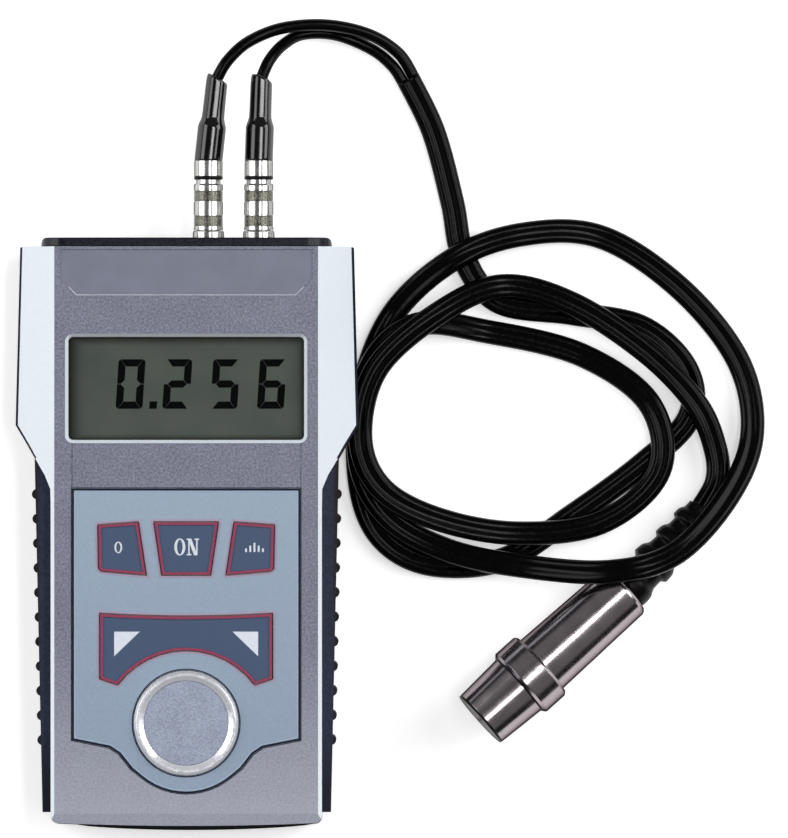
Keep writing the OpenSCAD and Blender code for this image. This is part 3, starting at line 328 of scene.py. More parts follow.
def film_material():
    """Printed keypad film: pale blue-grey, a touch lighter towards the top."""
    n = Nodes("keypad")
    y = n.axes(n.places)[1]
    grain = n.noise(2200, 2)
    low = n.grade(grain, srgb(139, 154, 174), srgb(146, 162, 182))
    high = n.grade(grain, srgb(147, 165, 183), srgb(155, 172, 190))
    n.surface(n.mix(n.span(y, *FILM_FADE_Y), low, high), grain, 0.42, 0.52)
    n.relief(grain, 0.12, 0.00003, 0.0001)
    n.set(Specular_IOR_Level=0.2)
    return n.material


TURNING_SCALE = 9000.0
MARKS_LOW, MARKS_HIGH = 0.35, 0.65
# A black edge tint, which paints dark reflections along the metal's outline
BLACK_EDGE_REFLECTION_TINT = (0.0, 0.0, 0.0, 1.0)


def turned_material(name, colour, rough, centre, along):
    """Turned metal: fine rings round an axis through centre, and a black edge tint that paints dark
    reflections at grazing angles.
    """
    n = Nodes(name)
    shift = n.new("ShaderNodeVectorMath", operation="SUBTRACT")
    n.feed(n.places, shift.inputs[0])
    shift.inputs[1].default_value = centre
    dot = n.new("ShaderNodeVectorMath", operation="DOT_PRODUCT")
    n.feed(shift.outputs["Vector"], dot.inputs[0])
    dot.inputs[1].default_value = along
    rings = n.new("ShaderNodeTexNoise", noise_dimensions="1D")
    n.feed(n.math("MULTIPLY", dot.outputs["Value"], TURNING_SCALE), rings.inputs["W"])
    rings.inputs["Scale"].default_value = 1.0
    rings.inputs["Detail"].default_value = 3.0
    marks = n.weigh(rings.outputs["Fac"], n.noise(260), 0.6)
    n.surface(n.grade(marks, shade(colour, 0.86), shade(colour, 1.1), MARKS_LOW, MARKS_HIGH), marks,
              rough - 0.05, rough + 0.06, MARKS_LOW, MARKS_HIGH)
    n.relief(marks, 0.2, 0.00002, 0.0001)
    n.set(Metallic=1.0, Specular_Tint=BLACK_EDGE_REFLECTION_TINT)
    return n.material


def ground_material():
    """Ground steel disc with fine and cloudy marks."""
    n = Nodes("block_steel")
    marks = n.weigh(n.noise(2600, 4), n.noise(240), 0.78)
    n.surface(n.grade(marks, srgb(135, 142, 161), srgb(167, 175, 195), 0.38, 0.62), marks, 0.42, 0.58,
              MARKS_LOW, MARKS_HIGH)
    n.relief(marks, 0.2, 0.00003, 0.00015)
    n.set(Metallic=0.2, Specular_IOR_Level=0.3)
    return n.material


# The probe's axis, from its face to its tail, and the middle of its tail
PROBE_TURN = math.radians(41.8)
PROBE_LEAN = math.radians(4.667)
PROBE_AXIS = Vector((math.cos(PROBE_TURN) * math.cos(PROBE_LEAN), math.sin(PROBE_TURN) * math.cos(PROBE_LEAN),
                     -math.sin(PROBE_LEAN)))
PROBE_TAIL = Vector((0.0943, -0.0118, 0.006279))
PLUG_MIDDLE = (0.0, 0.0655, 0.0125)
PLUG_AXIS = (0.0, 1.0, 0.0)

PLAIN_LOOKS = {
    "shell_dark": dict(colour=srgb(20, 19, 31), rough=0.3, grain=1800, bump=0.2, edge=0.0006,
                       Specular_IOR_Level=0.25),
    "window": dict(colour=(0.02, 0.022, 0.02, 1), rough=0.06, grain=300, vary=0.02, bump=0.01,
                   rough_vary=0.02, Alpha=0.06, Specular_IOR_Level=0.3),
    "holder": dict(colour=srgb(22, 22, 24), rough=0.6),
    "contact_rubber": dict(colour=srgb(200, 140, 150), rough=0.6),
    "board": dict(colour=srgb(22, 92, 54), rough=0.4, grain=300),
    "chips": dict(colour=srgb(26, 26, 28), rough=0.5),
    "screws": dict(colour=srgb(168, 168, 172), rough=0.32, metal=1.0, grain=700),
    "switch_layer": dict(colour=srgb(190, 186, 160), rough=0.5),
    "keys": dict(colour=srgb(69, 85, 112), rough=0.46, grain=2400, vary=0.06, Specular_IOR_Level=0.2),
    "bright_ring": dict(colour=srgb(236, 238, 245), rough=0.24, metal=0.5, vary=0.02, bump=0.02, edge=0.0003),
    "cells": dict(colour=srgb(44, 52, 70), rough=0.35, grain=200),
    "contacts": dict(colour=srgb(206, 206, 200), rough=0.25, metal=1.0),
    "knurl": dict(colour=srgb(118, 118, 108), rough=0.28, metal=1.0, grain=2600, vary=0.5),
    "wire": dict(colour=srgb(170, 34, 26), rough=0.5),
    "boot": dict(colour=srgb(3, 3, 3), rough=0.1, grain=420, vary=0.2, bump=0.1, depth=0.0001,
                 rough_vary=0.03, Specular_IOR_Level=0.55),
    "cable": dict(colour=srgb(3, 2, 2), rough=0.19, grain=1300, vary=0.3, bump=0.2, depth=0.00004,
                  Specular_IOR_Level=0.1),
    "relief": dict(colour=srgb(4, 4, 4), rough=0.34, grain=1500, vary=0.25, bump=0.3, edge=0.0002,
                   Specular_IOR_Level=0.1),
    "delay": dict(colour=srgb(46, 40, 36), rough=0.4, grain=300, Specular_IOR_Level=0.15),
    "cork": dict(colour=srgb(70, 52, 38), rough=0.8, grain=1200, vary=0.4),
    "crystal": dict(colour=srgb(200, 190, 160), rough=0.5),
    "backing": dict(colour=srgb(60, 50, 42), rough=0.6),
    "key_line": dict(colour=srgb(144, 63, 89), rough=0.5, grain=1500, Specular_IOR_Level=0.15),
    "key_halo": dict(colour=srgb(171, 152, 175), rough=0.5, grain=1500, vary=0.06, Specular_IOR_Level=0.15),
    "key_mark": dict(colour=srgb(217, 223, 233), rough=0.45, grain=1500, vary=0.05),
    "segments": dict(colour=srgb(3, 4, 5), rough=0.6, grain=1500, vary=0.1, edge=0, Specular_IOR_Level=0.0),
    # Pale colour of the label's edge strip: a painted highlight
    "painted_label_highlight": dict(colour=srgb(204, 201, 214), rough=0.5, grain=1500, vary=0.15, Specular_IOR_Level=0.1),
    "film_light": dict(colour=srgb(160, 177, 195), rough=0.5, grain=1500, vary=0.06, Specular_IOR_Level=0.1),
    "film_line": dict(colour=srgb(20, 27, 44), rough=0.5, grain=1500, vary=0.15, Specular_IOR_Level=0.1),
    # Near-black, for the seals and for the marks of painted shade
    "black_seal_and_shade": dict(colour=srgb(6, 6, 6), rough=0.45, grain=1500, Specular_IOR_Level=0.15),
}

MATERIALS = {
    "shell_silver": shell_material(),
    "grip_rubber": grip_material(),
    "lcd": lcd_material(),
    "keypad": film_material(),
    "block_steel": ground_material(),
    "connector": turned_material("connector", srgb(196, 196, 194), 0.22, PLUG_MIDDLE, PLUG_AXIS),
    "probe_steel": turned_material("probe_steel", srgb(168, 159, 162), 0.17, PROBE_TAIL, PROBE_AXIS),
    **{name: plain(name, **look) for name, look in PLAIN_LOOKS.items()},
}


def dress_frame():
    """Give every CAD node the material of its slot in the record."""
    for row in frame["record"]["subparts"]:
        node = frame["nodes"][row["node"]]
        material = MATERIALS[row["material_slot"]]
        node.data.materials.clear()
        node.data.materials.append(material)


dress_frame()


# ---- mesh helpers ----


def add(name, points, faces, material, body, smooth=True):
    """A mesh object from points in metres, riding on a body."""
    mesh = bpy.data.meshes.new(name)
    mesh.from_pydata([tuple(p) for p in points], [], faces)
    mesh.validate()
    mesh.update()
    for polygon in mesh.polygons:
        polygon.use_smooth = smooth
    mesh.materials.append(MATERIALS[material])
    made = bpy.data.objects.new(name, mesh)
    bpy.context.scene.collection.objects.link(made)
    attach(made, body)
    return made


def skin(rings):
    """Points and faces of a closed tube through rings that have the same number of points."""
    sides = len(rings[0])
    last = len(rings) - 1
    points = [p for ring in rings for p in ring]
    faces = [(low + k, low + (k + 1) % sides, low + sides + (k + 1) % sides, low + sides + k)
             for low in range(0, last * sides, sides) for k in range(sides)]
    faces.append(tuple(range(sides - 1, -1, -1)))
    faces.append(tuple(last * sides + k for k in range(sides)))
    return points, faces


def square_ring(centre, way, section):
    """A flat ring square to way, from section's points (sideways, upwards)."""
    side = Vector((way.y, -way.x, 0)).normalized()
    up = side.cross(way)
    return [centre + side * a + up * b for a, b in section]


def round_section(radius, sides, turn=0.5):
    """Points of a circle, turned by a share of the step between them."""
    angles = (math.tau * (k + turn) / sides for k in range(sides))
    return [(radius * math.cos(a), radius * math.sin(a)) for a in angles]


def smooth_route(points, count, floor):
    """Points on the smooth curve through a route in millimetres, none below the resting height."""
    last = len(points) - 1
    found = []
    for i in range(count):
        u = i / (count - 1) * last
        k = min(int(u), last - 1)
        t = u - k
        a, b, c, d = (Vector(points[max(0, min(last, k + j))]) for j in (-1, 0, 1, 2))
        p = 0.5 * (2 * b + (c - a) * t + (2 * a - 5 * b + 4 * c - d) * t * t
                   + (3 * b - a - 3 * c + d) * t * t * t)
        p.z = max(p.z, floor)
        found.append(p * MM)
    return found


def ways(path):
    """The direction of a path at each of its points."""
    last = len(path) - 1
    return [(path[min(i + 1, last)] - path[max(i - 1, 0)]).normalized() for i in range(last + 1)]


# ---- cables ----

# Routes of the cables' middle lines, in millimetres
LEAD_R = 1.3
LEFT_ROUTE = [
    (6.5, 98, 12.5), (8.8, 101.8, 12.3), (13.2, 105.8, 11), (20.5, 108.8, 8.6),
    (30, 109.5, 6.2), (39, 107.6, 3.8), (45.4, 103.6, 2),
]
RIGHT_ROUTE = [
    (16, 98, 12.5), (17.7, 101.8, 11.6), (20.7, 105.3, 8.4), (25, 107.6, 4.9),
    (32, 107.5, 2.2), (39.5, 104.5, 1.3), (44, 100.9, 1.3),
]
TWIN_ROUTE = [
    (47.5, 98, 1.3), (53, 86.5, 1.3), (57, 71.5, 1.3), (59.5, 59.5, 1.3), (67, 50, 1.3),
    (83, 47.5, 1.3), (98, 44.5, 1.3), (107.5, 35.5, 1.3), (108, 25, 1.3), (98, 15, 1.3),
    (83, 4, 1.3), (68, -5.5, 1.3), (52, -6.5, 1.3), (41.5, -0.5, 1.3), (37, 11.5, 1.3),
    (37.5, 30, 1.3), (44, 47, 1.3), (57, 59, 4.5), (72, 64.5, 3), (89, 64, 1.3),
    (106, 53, 1.3), (118.5, 37.5, 1.5), (121.6, 22, 3.6), (116.5, 8.5, 8.2), (105, -4, 12.9),
    (91, -8, 13.6), (73, -7, 7), (56, -3.5, 4.3), (43, 4, 4.3), (37, 16.5, 4.3),
    (39, 35, 4.3), (49, 45, 4), (65, 43.5, 1.3), (85, 38.5, 1.3), (99.5, 28, 3.8),
    (101.5, 13.5, 4.5), (89, 2.5, 4.4), (70, 0.2, 4.4), (52.5, 3.7, 6.2), (41.2, 10.5, 7.2),
    (37.2, 21.5, 7.2), (41, 36, 7.2), (54.5, 47.8, 6.6), (68, 53.4, 4.4), (83, 49.5, 4.3),
    (99, 39, 4.3), (109.5, 28, 4.5), (113.6, 18.5, 3.4), (114, 11.5, 3.4), (110.8, 5.5, 4.1),
]
TWIN_STEPS = 620
LEAD_STEPS = 60
LEAD_SIDES = 20

# Half the turn of each round side of the twin cable, and the half thickness of its web as a share of LEAD_R
TWIN_TURN = math.radians(128)
TWIN_ARC_STEPS = 10
TWIN_WAIST = 0.72

twin_path = smooth_route(TWIN_ROUTE, TWIN_STEPS, LEAD_R)
twin_ways = ways(twin_path)


def twin_section():
    """Two round cables side by side, joined by a web between them."""
    radius, waist = LEAD_R * MM, TWIN_WAIST * LEAD_R * MM
    right = [(radius + radius * math.cos(a), radius * math.sin(a))
             for a in (-TWIN_TURN + 2 * TWIN_TURN * k / TWIN_ARC_STEPS for k in range(TWIN_ARC_STEPS + 1))]
    left = [(-x, -y) for x, y in right]
    return right + [(0.0, waist)] + left + [(0.0, -waist)]


def make_twin(relief):
    """The twin cable, with the relief and the probe at its far end."""
    section = twin_section()
    points, faces = skin([square_ring(p, w, section) for p, w in zip(twin_path, twin_ways)])
    made = add("twin_lead", points, faces, "cable", PROBE_SET)
    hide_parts("twin_cable")


def make_lead(side, route, sign):
    """A single lead, from its boot to its half of the twin cable."""
    across = Vector((-twin_ways[0].y, twin_ways[0].x, 0)).normalized()
    end = twin_path[0] / MM + sign * LEAD_R * across
    path = smooth_route(route + [tuple(end)], LEAD_STEPS, LEAD_R)
    headings = ways(path)
    headings[-1] = twin_ways[0]
    section = round_section(LEAD_R * MM, LEAD_SIDES)
    points, faces = skin([square_ring(p, w, section) for p, w in zip(path, headings)])
    made = add(f"single_lead_{side}", points, faces, "cable", PROBE_SET)
    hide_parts(f"lead_{side}")
    return path, headings


RELIEF_R, RELIEF_TIP_R, RELIEF_RIBS, RELIEF_STEPS, RELIEF_SIDES = 5.2, 3.9, 4, 20, 40
RELIEF_KNEE = 0.6
GROOVE_DEPTH, RIB_RISE, RIB_FALL = 0.2, 0.06, 9


def relief_radius(step, last):
    """The relief's radius in millimetres: each rib rises steeply and falls off to its groove."""
    plain_r = RELIEF_R + (RELIEF_TIP_R - RELIEF_R) * step / last
    phase = (step % RELIEF_STEPS) / RELIEF_STEPS
    height = 0.5 + phase / (2 * RIB_RISE)
    if phase > RIB_RISE:
        height = 0.5 + 0.5 * math.tanh(RIB_FALL * (0.5 - phase))
    groove = GROOVE_DEPTH * (1 - height) if step < last else GROOVE_DEPTH
    return plain_r * (1 - groove)


def make_relief():
    """The ribbed relief, bending from the probe's tail to the end of the twin cable."""
    tip = twin_path[-1]
    knee = PROBE_TAIL + PROBE_AXIS * (RELIEF_KNEE * (tip - PROBE_TAIL).length)
    last = RELIEF_RIBS * RELIEF_STEPS
    path = [(1 - t) * (1 - t) * PROBE_TAIL + 2 * t * (1 - t) * knee + t * t * tip
            for t in (i / last for i in range(last + 1))]
    headings = ways(path)
    headings[0] = PROBE_AXIS
    headings[-1] = -twin_ways[-1]
    points, faces = skin([square_ring(p, w, round_section(relief_radius(i, last) * MM, RELIEF_SIDES))
                          for i, (p, w) in enumerate(zip(path, headings))])
    made = add("ribbed_relief", points, faces, "relief", PROBE_SET)
    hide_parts("strain_relief")
    return made


make_twin(make_relief())
lead_paths = {
    "left": make_lead("left", LEFT_ROUTE, 1),
    "right": make_lead("right", RIGHT_ROUTE, -1),
}


# ---- boots, knurled bands and seals of the plugs ----

# Places and sizes of the plugs' pieces, in millimetres
SOCKET_X = {"left": 4.6, "right": 15.4}
SOCKET_Z = 12.5
SLEEVE_START, SLEEVE_L = 65.35, 9.9
COLLET_START, COLLET_L, COLLET_R = 76.1, 4.1, 3.05

# The boot's radius as a share of the collet's, at shares of its length
BOOT_SHARES = [(0, 0.97), (0.015, 1.0), (0.1, 1.0), (0.3, 1.0), (0.40, 1.0), (0.43, 0.97), (0.47, 0.88),
               (0.52, 0.80), (0.6, 0.785), (0.8, 0.775), (0.97, 0.765), (0.99, 0.75), (1, 0.71)]
BOOT_STEPS, BOOT_SIDES = 60, 96
BOOT_BEND = 0.08
FLUTES, FLUTE_TURN = 6, math.radians(6)
FLUTE_DEPTH, FLUTE_MORE, FLUTE_MORE_START, FLUTE_MORE_SPAN = 0.02, 0.008, 0.42, 0.1


def boot_radius(share):
    for (a, ra), (b, rb) in zip(BOOT_SHARES, BOOT_SHARES[1:]):
        if share <= b:
            t = (share - a) / (b - a)
            return ra + (rb - ra) * t
    return BOOT_SHARES[-1][1]


def boot_way(share, line, lead_way):
    """The boot's direction: square to its collet at first, and the lead's own at its end."""
    way = line.normalized()
    if share < BOOT_BEND:
        return Vector((0, 1, 0)).lerp(way, share / BOOT_BEND).normalized()
    if share > 1 - BOOT_BEND:
        return way.lerp(lead_way, (share - (1 - BOOT_BEND)) / BOOT_BEND).normalized()
    return way


def boot_section(share):
    """The boot's outline, with flutes that are deeper along its upper part."""
    depth = FLUTE_DEPTH + FLUTE_MORE * min(1.0, max(0.0, (share - FLUTE_MORE_START) / FLUTE_MORE_SPAN))
    angles = (FLUTES * (math.tau * k / BOOT_SIDES + FLUTE_TURN) for k in range(BOOT_SIDES))
    sinks = [1 + depth * (math.cos(a) - 1) for a in angles]
    circle = round_section(boot_radius(share) * COLLET_R * MM, BOOT_SIDES, 0)
    return [(x * sink, y * sink) for sink, (x, y) in zip(sinks, circle)]


def make_boot(side):
    """A shrunk boot, with the flutes that shrinking leaves."""
    path, headings = lead_paths[side]
    start = Vector((SOCKET_X[side], COLLET_START + COLLET_L, SOCKET_Z)) * MM
    line = path[0] - start
    shares = [i / BOOT_STEPS for i in range(BOOT_STEPS + 1)]
    points, faces = skin([square_ring(start + line * share, boot_way(share, line, headings[0]),
                                      boot_section(share)) for share in shares])
    made = add(f"shrunk_boot_{side}", points, faces, "boot", PROBE_SET)
    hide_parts(f"boot_{side}")


# Starts of the two knurled bands from the sleeve's start, and how far they stay inside their grooves
BAND_L, BAND_LAP = 2.4, 0.04
BAND_LOW, BAND_HIGH = 0.72, SLEEVE_L - 1.6 * BAND_L
KNURL_COUNT, KNURL_ROWS = 40, 10
KNURL_EDGE_R, KNURL_PEAK_R, KNURL_LOW_R = 2.9, 3.12, 3.06


def knurl_points(side, low):
    """Points of one band, row by row, with every other point raised."""
    points = []
    for row in range(KNURL_ROWS + 1):
        y = (SLEEVE_START + low + BAND_LAP + (BAND_L - 2 * BAND_LAP) * row / KNURL_ROWS) * MM
        for k in range(KNURL_COUNT):
            radius = KNURL_PEAK_R if (k + row) % 2 == 0 else KNURL_LOW_R
            radius = (KNURL_EDGE_R if row in (0, KNURL_ROWS) else radius) * MM
            angle = math.tau * k / KNURL_COUNT
            points.append(Vector((SOCKET_X[side] * MM + radius * math.cos(angle), y,
                                  SOCKET_Z * MM + radius * math.sin(angle))))
    return points


def knurl_faces(first):
    """Triangles of one band whose points are numbered from first, split along the diamonds."""
    faces = []
    for row in range(KNURL_ROWS):
        for k in range(KNURL_COUNT):
            a = first + row * KNURL_COUNT + k
            b = first + row * KNURL_COUNT + (k + 1) % KNURL_COUNT
            c, d = b + KNURL_COUNT, a + KNURL_COUNT
            faces += [(a, d, b), (b, d, c)] if (k + row) % 2 == 0 else [(a, c, b), (a, d, c)]
    return faces


def make_knurl(side, body):
    """Two diamond-knurled bands in the grooves of a release sleeve."""
    points, faces = [], []
    for low in (BAND_LOW, BAND_HIGH):
        faces += knurl_faces(len(points))
        points += knurl_points(side, low)
    add(f"knurl_{side}", points, faces, "knurl", body, smooth=False)


SEAL_SIDES, SEAL_STEPS = 64, 10


def make_seal(name, centre, along, inner, outer, half_l, slot):
    """A dark rounded ring round an axis through centre, in millimetres across and along."""
    mid_r, half_r = (inner + outer) / 2, (outer - inner) / 2
    side = along.orthogonal().normalized()
    up = along.cross(side)
    points = [centre + ((side * math.cos(a) + up * math.sin(a)) * (mid_r + half_r * math.cos(b))
                        + along * (half_l * math.sin(b))) * MM
              for a in (math.tau * k / SEAL_SIDES for k in range(SEAL_SIDES))
              for b in (math.tau * j / SEAL_STEPS for j in range(SEAL_STEPS))]
    faces = []
    for k in range(SEAL_SIDES):
        here, there = k * SEAL_STEPS, ((k + 1) % SEAL_SIDES) * SEAL_STEPS
        faces += [(here + j, there + j, there + (j + 1) % SEAL_STEPS, here + (j + 1) % SEAL_STEPS)
                  for j in range(SEAL_STEPS)]
    add(name, points, faces, "black_seal_and_shade", PROBE_SET)


# Sizes of the seals and of the nose's front ring of painted shade: inner and outer radius and half length
COLLET_SEAL, COLLET_SEAL_Y = (2.8, 3.12, 0.38), COLLET_START + 0.42
NOSE_JOINT_SEAL, NOSE_FACE_SHADE_RING = (7.0, 7.45, 0.2), (6.1, 6.72, 0.2)
BODY_L, COLLAR_L, NOSE_L = 24.5, 6.4, 11.3
JOINT_SEAL_PAST, FACE_SHADE_RING_BACK = 0.16, 0.12

for side, sleeve_body in zip(SIDES, SLEEVES):
    make_boot(side)
    make_knurl(side, sleeve_body)
    make_seal(f"collet_seal_{side}", Vector((SOCKET_X[side], COLLET_SEAL_Y, SOCKET_Z)) * MM,
              Vector((0, 1, 0)), *COLLET_SEAL, "boot")

NOSE_JOINT = PROBE_TAIL - PROBE_AXIS * (BODY_L + COLLAR_L + JOINT_SEAL_PAST) * MM
NOSE_FACE = PROBE_TAIL - PROBE_AXIS * (BODY_L + COLLAR_L + NOSE_L - FACE_SHADE_RING_BACK) * MM
make_seal("nose_joint_seal", NOSE_JOINT, PROBE_AXIS, *NOSE_JOINT_SEAL, "probe_steel")
# A black ring of painted shade along the nose's front edge
make_seal("nose_face_shade_ring", NOSE_FACE, PROBE_AXIS, *NOSE_FACE_SHADE_RING, "probe_steel")


# ---- printed lines, marks and display ----

# The keypad film, its keys and the test block, in millimetres
PAD_W, DISC_Y, PAD_ARC_R = 48.9, -40.25, 15.1
PAD_TOP_Y, PAD_SIDE_Y = DISC_Y + 50.15, DISC_Y - 3.65
ROW_TOP, ROW_LOW = DISC_Y + 43.15, DISC_Y + 31.45
KEY_GAP = 0.2
RING_HOLE_R = 11.42
SHOULDER = ((0.483, 0.65), (0.585, 0.44), (0.67, 0.348))


def arc(x, y, r, start, end, steps):
    """Points of an arc from start to end, in degrees."""
    angles = (math.radians(start + (end - start) * i / steps) for i in range(steps + 1))
    return [(x + r * math.cos(a), y + r * math.sin(a)) for a in angles]


def mirrored(points):
    """The points, followed by their mirror image in the reverse order."""
    return points + [(-x, y) for x, y in reversed(points)]


def key_outline(shares):
    """A key's outline from shares of the film's half width and of the key row's height."""
    return [(x * PAD_W / 2, ROW_TOP - y * (ROW_TOP - ROW_LOW)) for x, y in shares]


VEL_SHARES = [(0.777, 0.055), (0.415, 0), (0.343, 1), (0.74, 0.93), (0.77, 0.87)]
VEL_OUTLINE = key_outline(VEL_SHARES)
ZERO_OUTLINE = [(-x, y) for x, y in VEL_OUTLINE]
ON_OUTLINE = key_outline([(-0.288, 0), (0.288, 0), (0.217, 1), (-0.217, 1)])


def arrow_outline():
    """The wide key: a slightly domed top edge, and an arch round the test block below."""
    half_w, radius, arch_drop, corner_rise = PAD_W * 0.38, 18.2, 2.85, 1.4
    top_up, low_up, sag = 23.6, 7.95, 0.6
    turn = math.degrees(math.asin((low_up + arch_drop) / radius))
    top = [(s * half_w, DISC_Y + top_up - sag * (1 - s * s)) for s in (i / 4 for i in range(-4, 5))]
    corner_y = DISC_Y + low_up + corner_rise
    arch = arc(0, DISC_Y - arch_drop, radius, turn, 180 - turn, 12)
    return top + [(half_w, corner_y)] + arch + [(-half_w, corner_y)]


def pad_outline():
    """The keypad film's outline, with its round lower part under the test block."""
    shoulder = [(PAD_W / 2 * x, DISC_Y - PAD_ARC_R * y) for x, y in SHOULDER]
    return mirrored(arc(0, DISC_Y, PAD_ARC_R, -90, -50, 6) + shoulder
                    + [(PAD_W / 2, PAD_SIDE_Y), (PAD_W / 2, PAD_TOP_Y)])


def tidy(points):
    """The outline without repeated points, anticlockwise."""
    kept = [p for i, p in enumerate(points) if math.dist(p, points[i - 1]) > 1e-6]
    area = sum(a[0] * b[1] - b[0] * a[1] for a, b in zip(kept, kept[1:] + kept[:1]))
    return kept if area > 0 else kept[::-1]


def inset(points, gap):
    """An anticlockwise outline moved inwards by gap."""
    found = []
    for i, here in enumerate(points):
        before, after = points[i - 1], points[(i + 1) % len(points)]
        d1 = Vector((here[0] - before[0], here[1] - before[1])).normalized()
        d2 = Vector((after[0] - here[0], after[1] - here[1])).normalized()
        n1, n2 = Vector((-d1.y, d1.x)), Vector((-d2.y, d2.x))
        bisector = (n1 + n2).normalized()
        lean = bisector.dot(n1)
        found.append((here[0] + bisector.x * gap / lean, here[1] + bisector.y * gap / lean))
    return found


def band(name, outline, gaps, low_z, high_z, material, body):
    """A flat closed line that follows an outline, between two insets."""
    loop = tidy(outline)
    outer, inner = (inset(loop, gap) for gap in gaps)
    count = len(loop)
    levels = [(outer, low_z), (outer, high_z), (inner, high_z), (inner, low_z)]
    points = [Vector((x, y, z)) * MM for line, z in levels for x, y in line]
    faces = []
    for level in range(4):
        here, there = level * count, ((level + 1) % 4) * count
        faces += [(there + k, there + (k + 1) % count, here + (k + 1) % count, here + k)
                  for k in range(count)]
    add(name, points, faces, material, body, smooth=False)


def plates(name, outlines, low_z, high_z, material, body):
    """Thin flat marks, one for each simple outline."""
    points, faces = [], []
    for outline in outlines:
        loop = tidy(outline)
        first, count = len(points), len(loop)
        points += [Vector((x, y, z)) * MM for z in (low_z, high_z) for x, y in loop]
        faces.append(tuple(first + k for k in range(count - 1, -1, -1)))
        faces.append(tuple(first + count + k for k in range(count)))
        faces += [(first + k, first + (k + 1) % count, first + count + (k + 1) % count, first + count + k)
                  for k in range(count)]
    add(name, points, faces, material, body, smooth=False)


# Heights of the printed faces, how far a print stands out and reaches in, and the insets of the lines
KEY_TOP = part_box("key_on")[1].z / MM
KEY_DISH = 0.15
KEY_FACE = KEY_TOP - KEY_DISH
FILM_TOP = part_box("keypad_film")[1].z / MM
PRINT = 0.02
KEY_LINE_GAPS, KEY_HALO_GAPS = (KEY_GAP + 0.02, KEY_GAP + 0.6), (-0.4, -0.03)
FILM_EDGE_GAPS, FILM_INNER_GAPS, FILM_HOLE_GAPS = (0.03, 0.45), (0.5, 0.8), (-0.22, 0.0)
KEYS = {"key_zero": ZERO_OUTLINE, "key_on": ON_OUTLINE, "key_vel": VEL_OUTLINE, "key_arrows": arrow_outline()}


def film_band(name, outline, gaps, material, rise=PRINT):
    band(name, outline, gaps, FILM_TOP - PRINT, FILM_TOP + rise, material, HOUSING)


def key_mark(name, outlines, key):
    plates(name, outlines, KEY_FACE - PRINT, KEY_FACE + PRINT, "key_mark", key)


for key, key_line in KEYS.items():
    band(f"{key}_line", key_line, KEY_LINE_GAPS, KEY_TOP - PRINT, KEY_TOP + PRINT, "key_line", key)
    film_band(f"{key}_halo", key_line, KEY_HALO_GAPS, "key_halo")
film_band("film_edge_line", pad_outline(), FILM_EDGE_GAPS, "film_line")
film_band("film_inner_line", pad_outline(), FILM_INNER_GAPS, "film_light", PRINT / 2)
film_band("film_hole_line", arc(0, DISC_Y, RING_HOLE_R, 0, 360, 72)[:-1], FILM_HOLE_GAPS, "film_line")

TRIANGLE = [(-15.4, -20.7), (-9.9, -20.7), (-15.4, -26.0)]
key_mark("arrow_marks", [TRIANGLE, [(-x, y) for x, y in TRIANGLE]], "key_arrows")


def letter_o(x, y, w, h, thick, thin, steps=28):
    """A round letter or nought with heavier sides, as quads round its ring."""
    angles = [math.tau * k / steps for k in range(steps)]
    outer = [(x + w / 2 * math.cos(a), y + h / 2 * math.sin(a)) for a in angles]
    inner = [(x + (w / 2 - thick) * math.cos(a), y + (h / 2 - thin) * math.sin(a)) for a in angles]
    return [[outer[k], outer[(k + 1) % steps], inner[(k + 1) % steps], inner[k]] for k in range(steps)]


def letter_n(x, y, w, h, thick, thin, serif):
    """A capital N with a heavy slope, thin stems and flat serifs, as one outline."""
    low, high, left, right = y - h / 2, y + h / 2, x - w / 2, x + w / 2
    overlap, notch = 0.1, 1.3
    slope_left, slope_right = left + serif - overlap, right - serif - thick
    step = thin * h / (slope_right - slope_left)
    return [[
        (left, low), (left + 2 * serif + thin, low), (left + 2 * serif + thin, low + thin),
        (left + serif + thin, low + thin), (left + serif + thin, high - notch * step), (slope_right, low),
        (right - serif, low), (right - serif, high - thin), (right, high - thin), (right, high),
        (right - 2 * serif - thin, high), (right - 2 * serif - thin, high - thin),
        (right - serif - thin, high - thin), (right - serif - thin, low + step), (slope_left + thick, high),
        (left, high), (left, high - thin), (left + serif, high - thin), (left + serif, low + thin),
        (left, low + thin),
    ]]


BAR_W, BAR_FOOT_Y = 0.42, -3.7
BARS = ((12.6, 0.8), (13.5, 1.4), (14.4, 2.0), (15.3, 1.4), (16.2, 0.8))

key_mark("key_on_mark", letter_o(-1.35, -2.6, 2.4, 3.7, 0.62, 0.3)
         + letter_n(1.45, -2.6, 2.7, 3.6, 0.75, 0.32, 0.35), "key_on")
key_mark("key_zero_mark", letter_o(-14.5, -2.7, 1.7, 2.5, 0.42, 0.25), "key_zero")
key_mark("key_vel_mark", [[(x, BAR_FOOT_Y), (x + BAR_W, BAR_FOOT_Y), (x + BAR_W, BAR_FOOT_Y + rise),
                           (x, BAR_FOOT_Y + rise)] for x, rise in BARS], "key_vel")

# The display's digits, from their lower left corners, and the dot between the first two
DIGIT_W, DIGIT_H, STROKE, SLANT, GAP = 5.75, 10.6, 1.55, 0.065, 0.07
DIGIT_FOOT_Y = 26.95
DIGITS = (("0", -15.15), ("2", -5.15), ("5", 5.1), ("6", 15.1))
DOT = ((-7.95, 0), (-6.35, 0), (-6.25, 1.6), (-7.85, 1.6))
LIT = {"0": "abcdef", "2": "abged", "5": "afgcd", "6": "afgedc"}


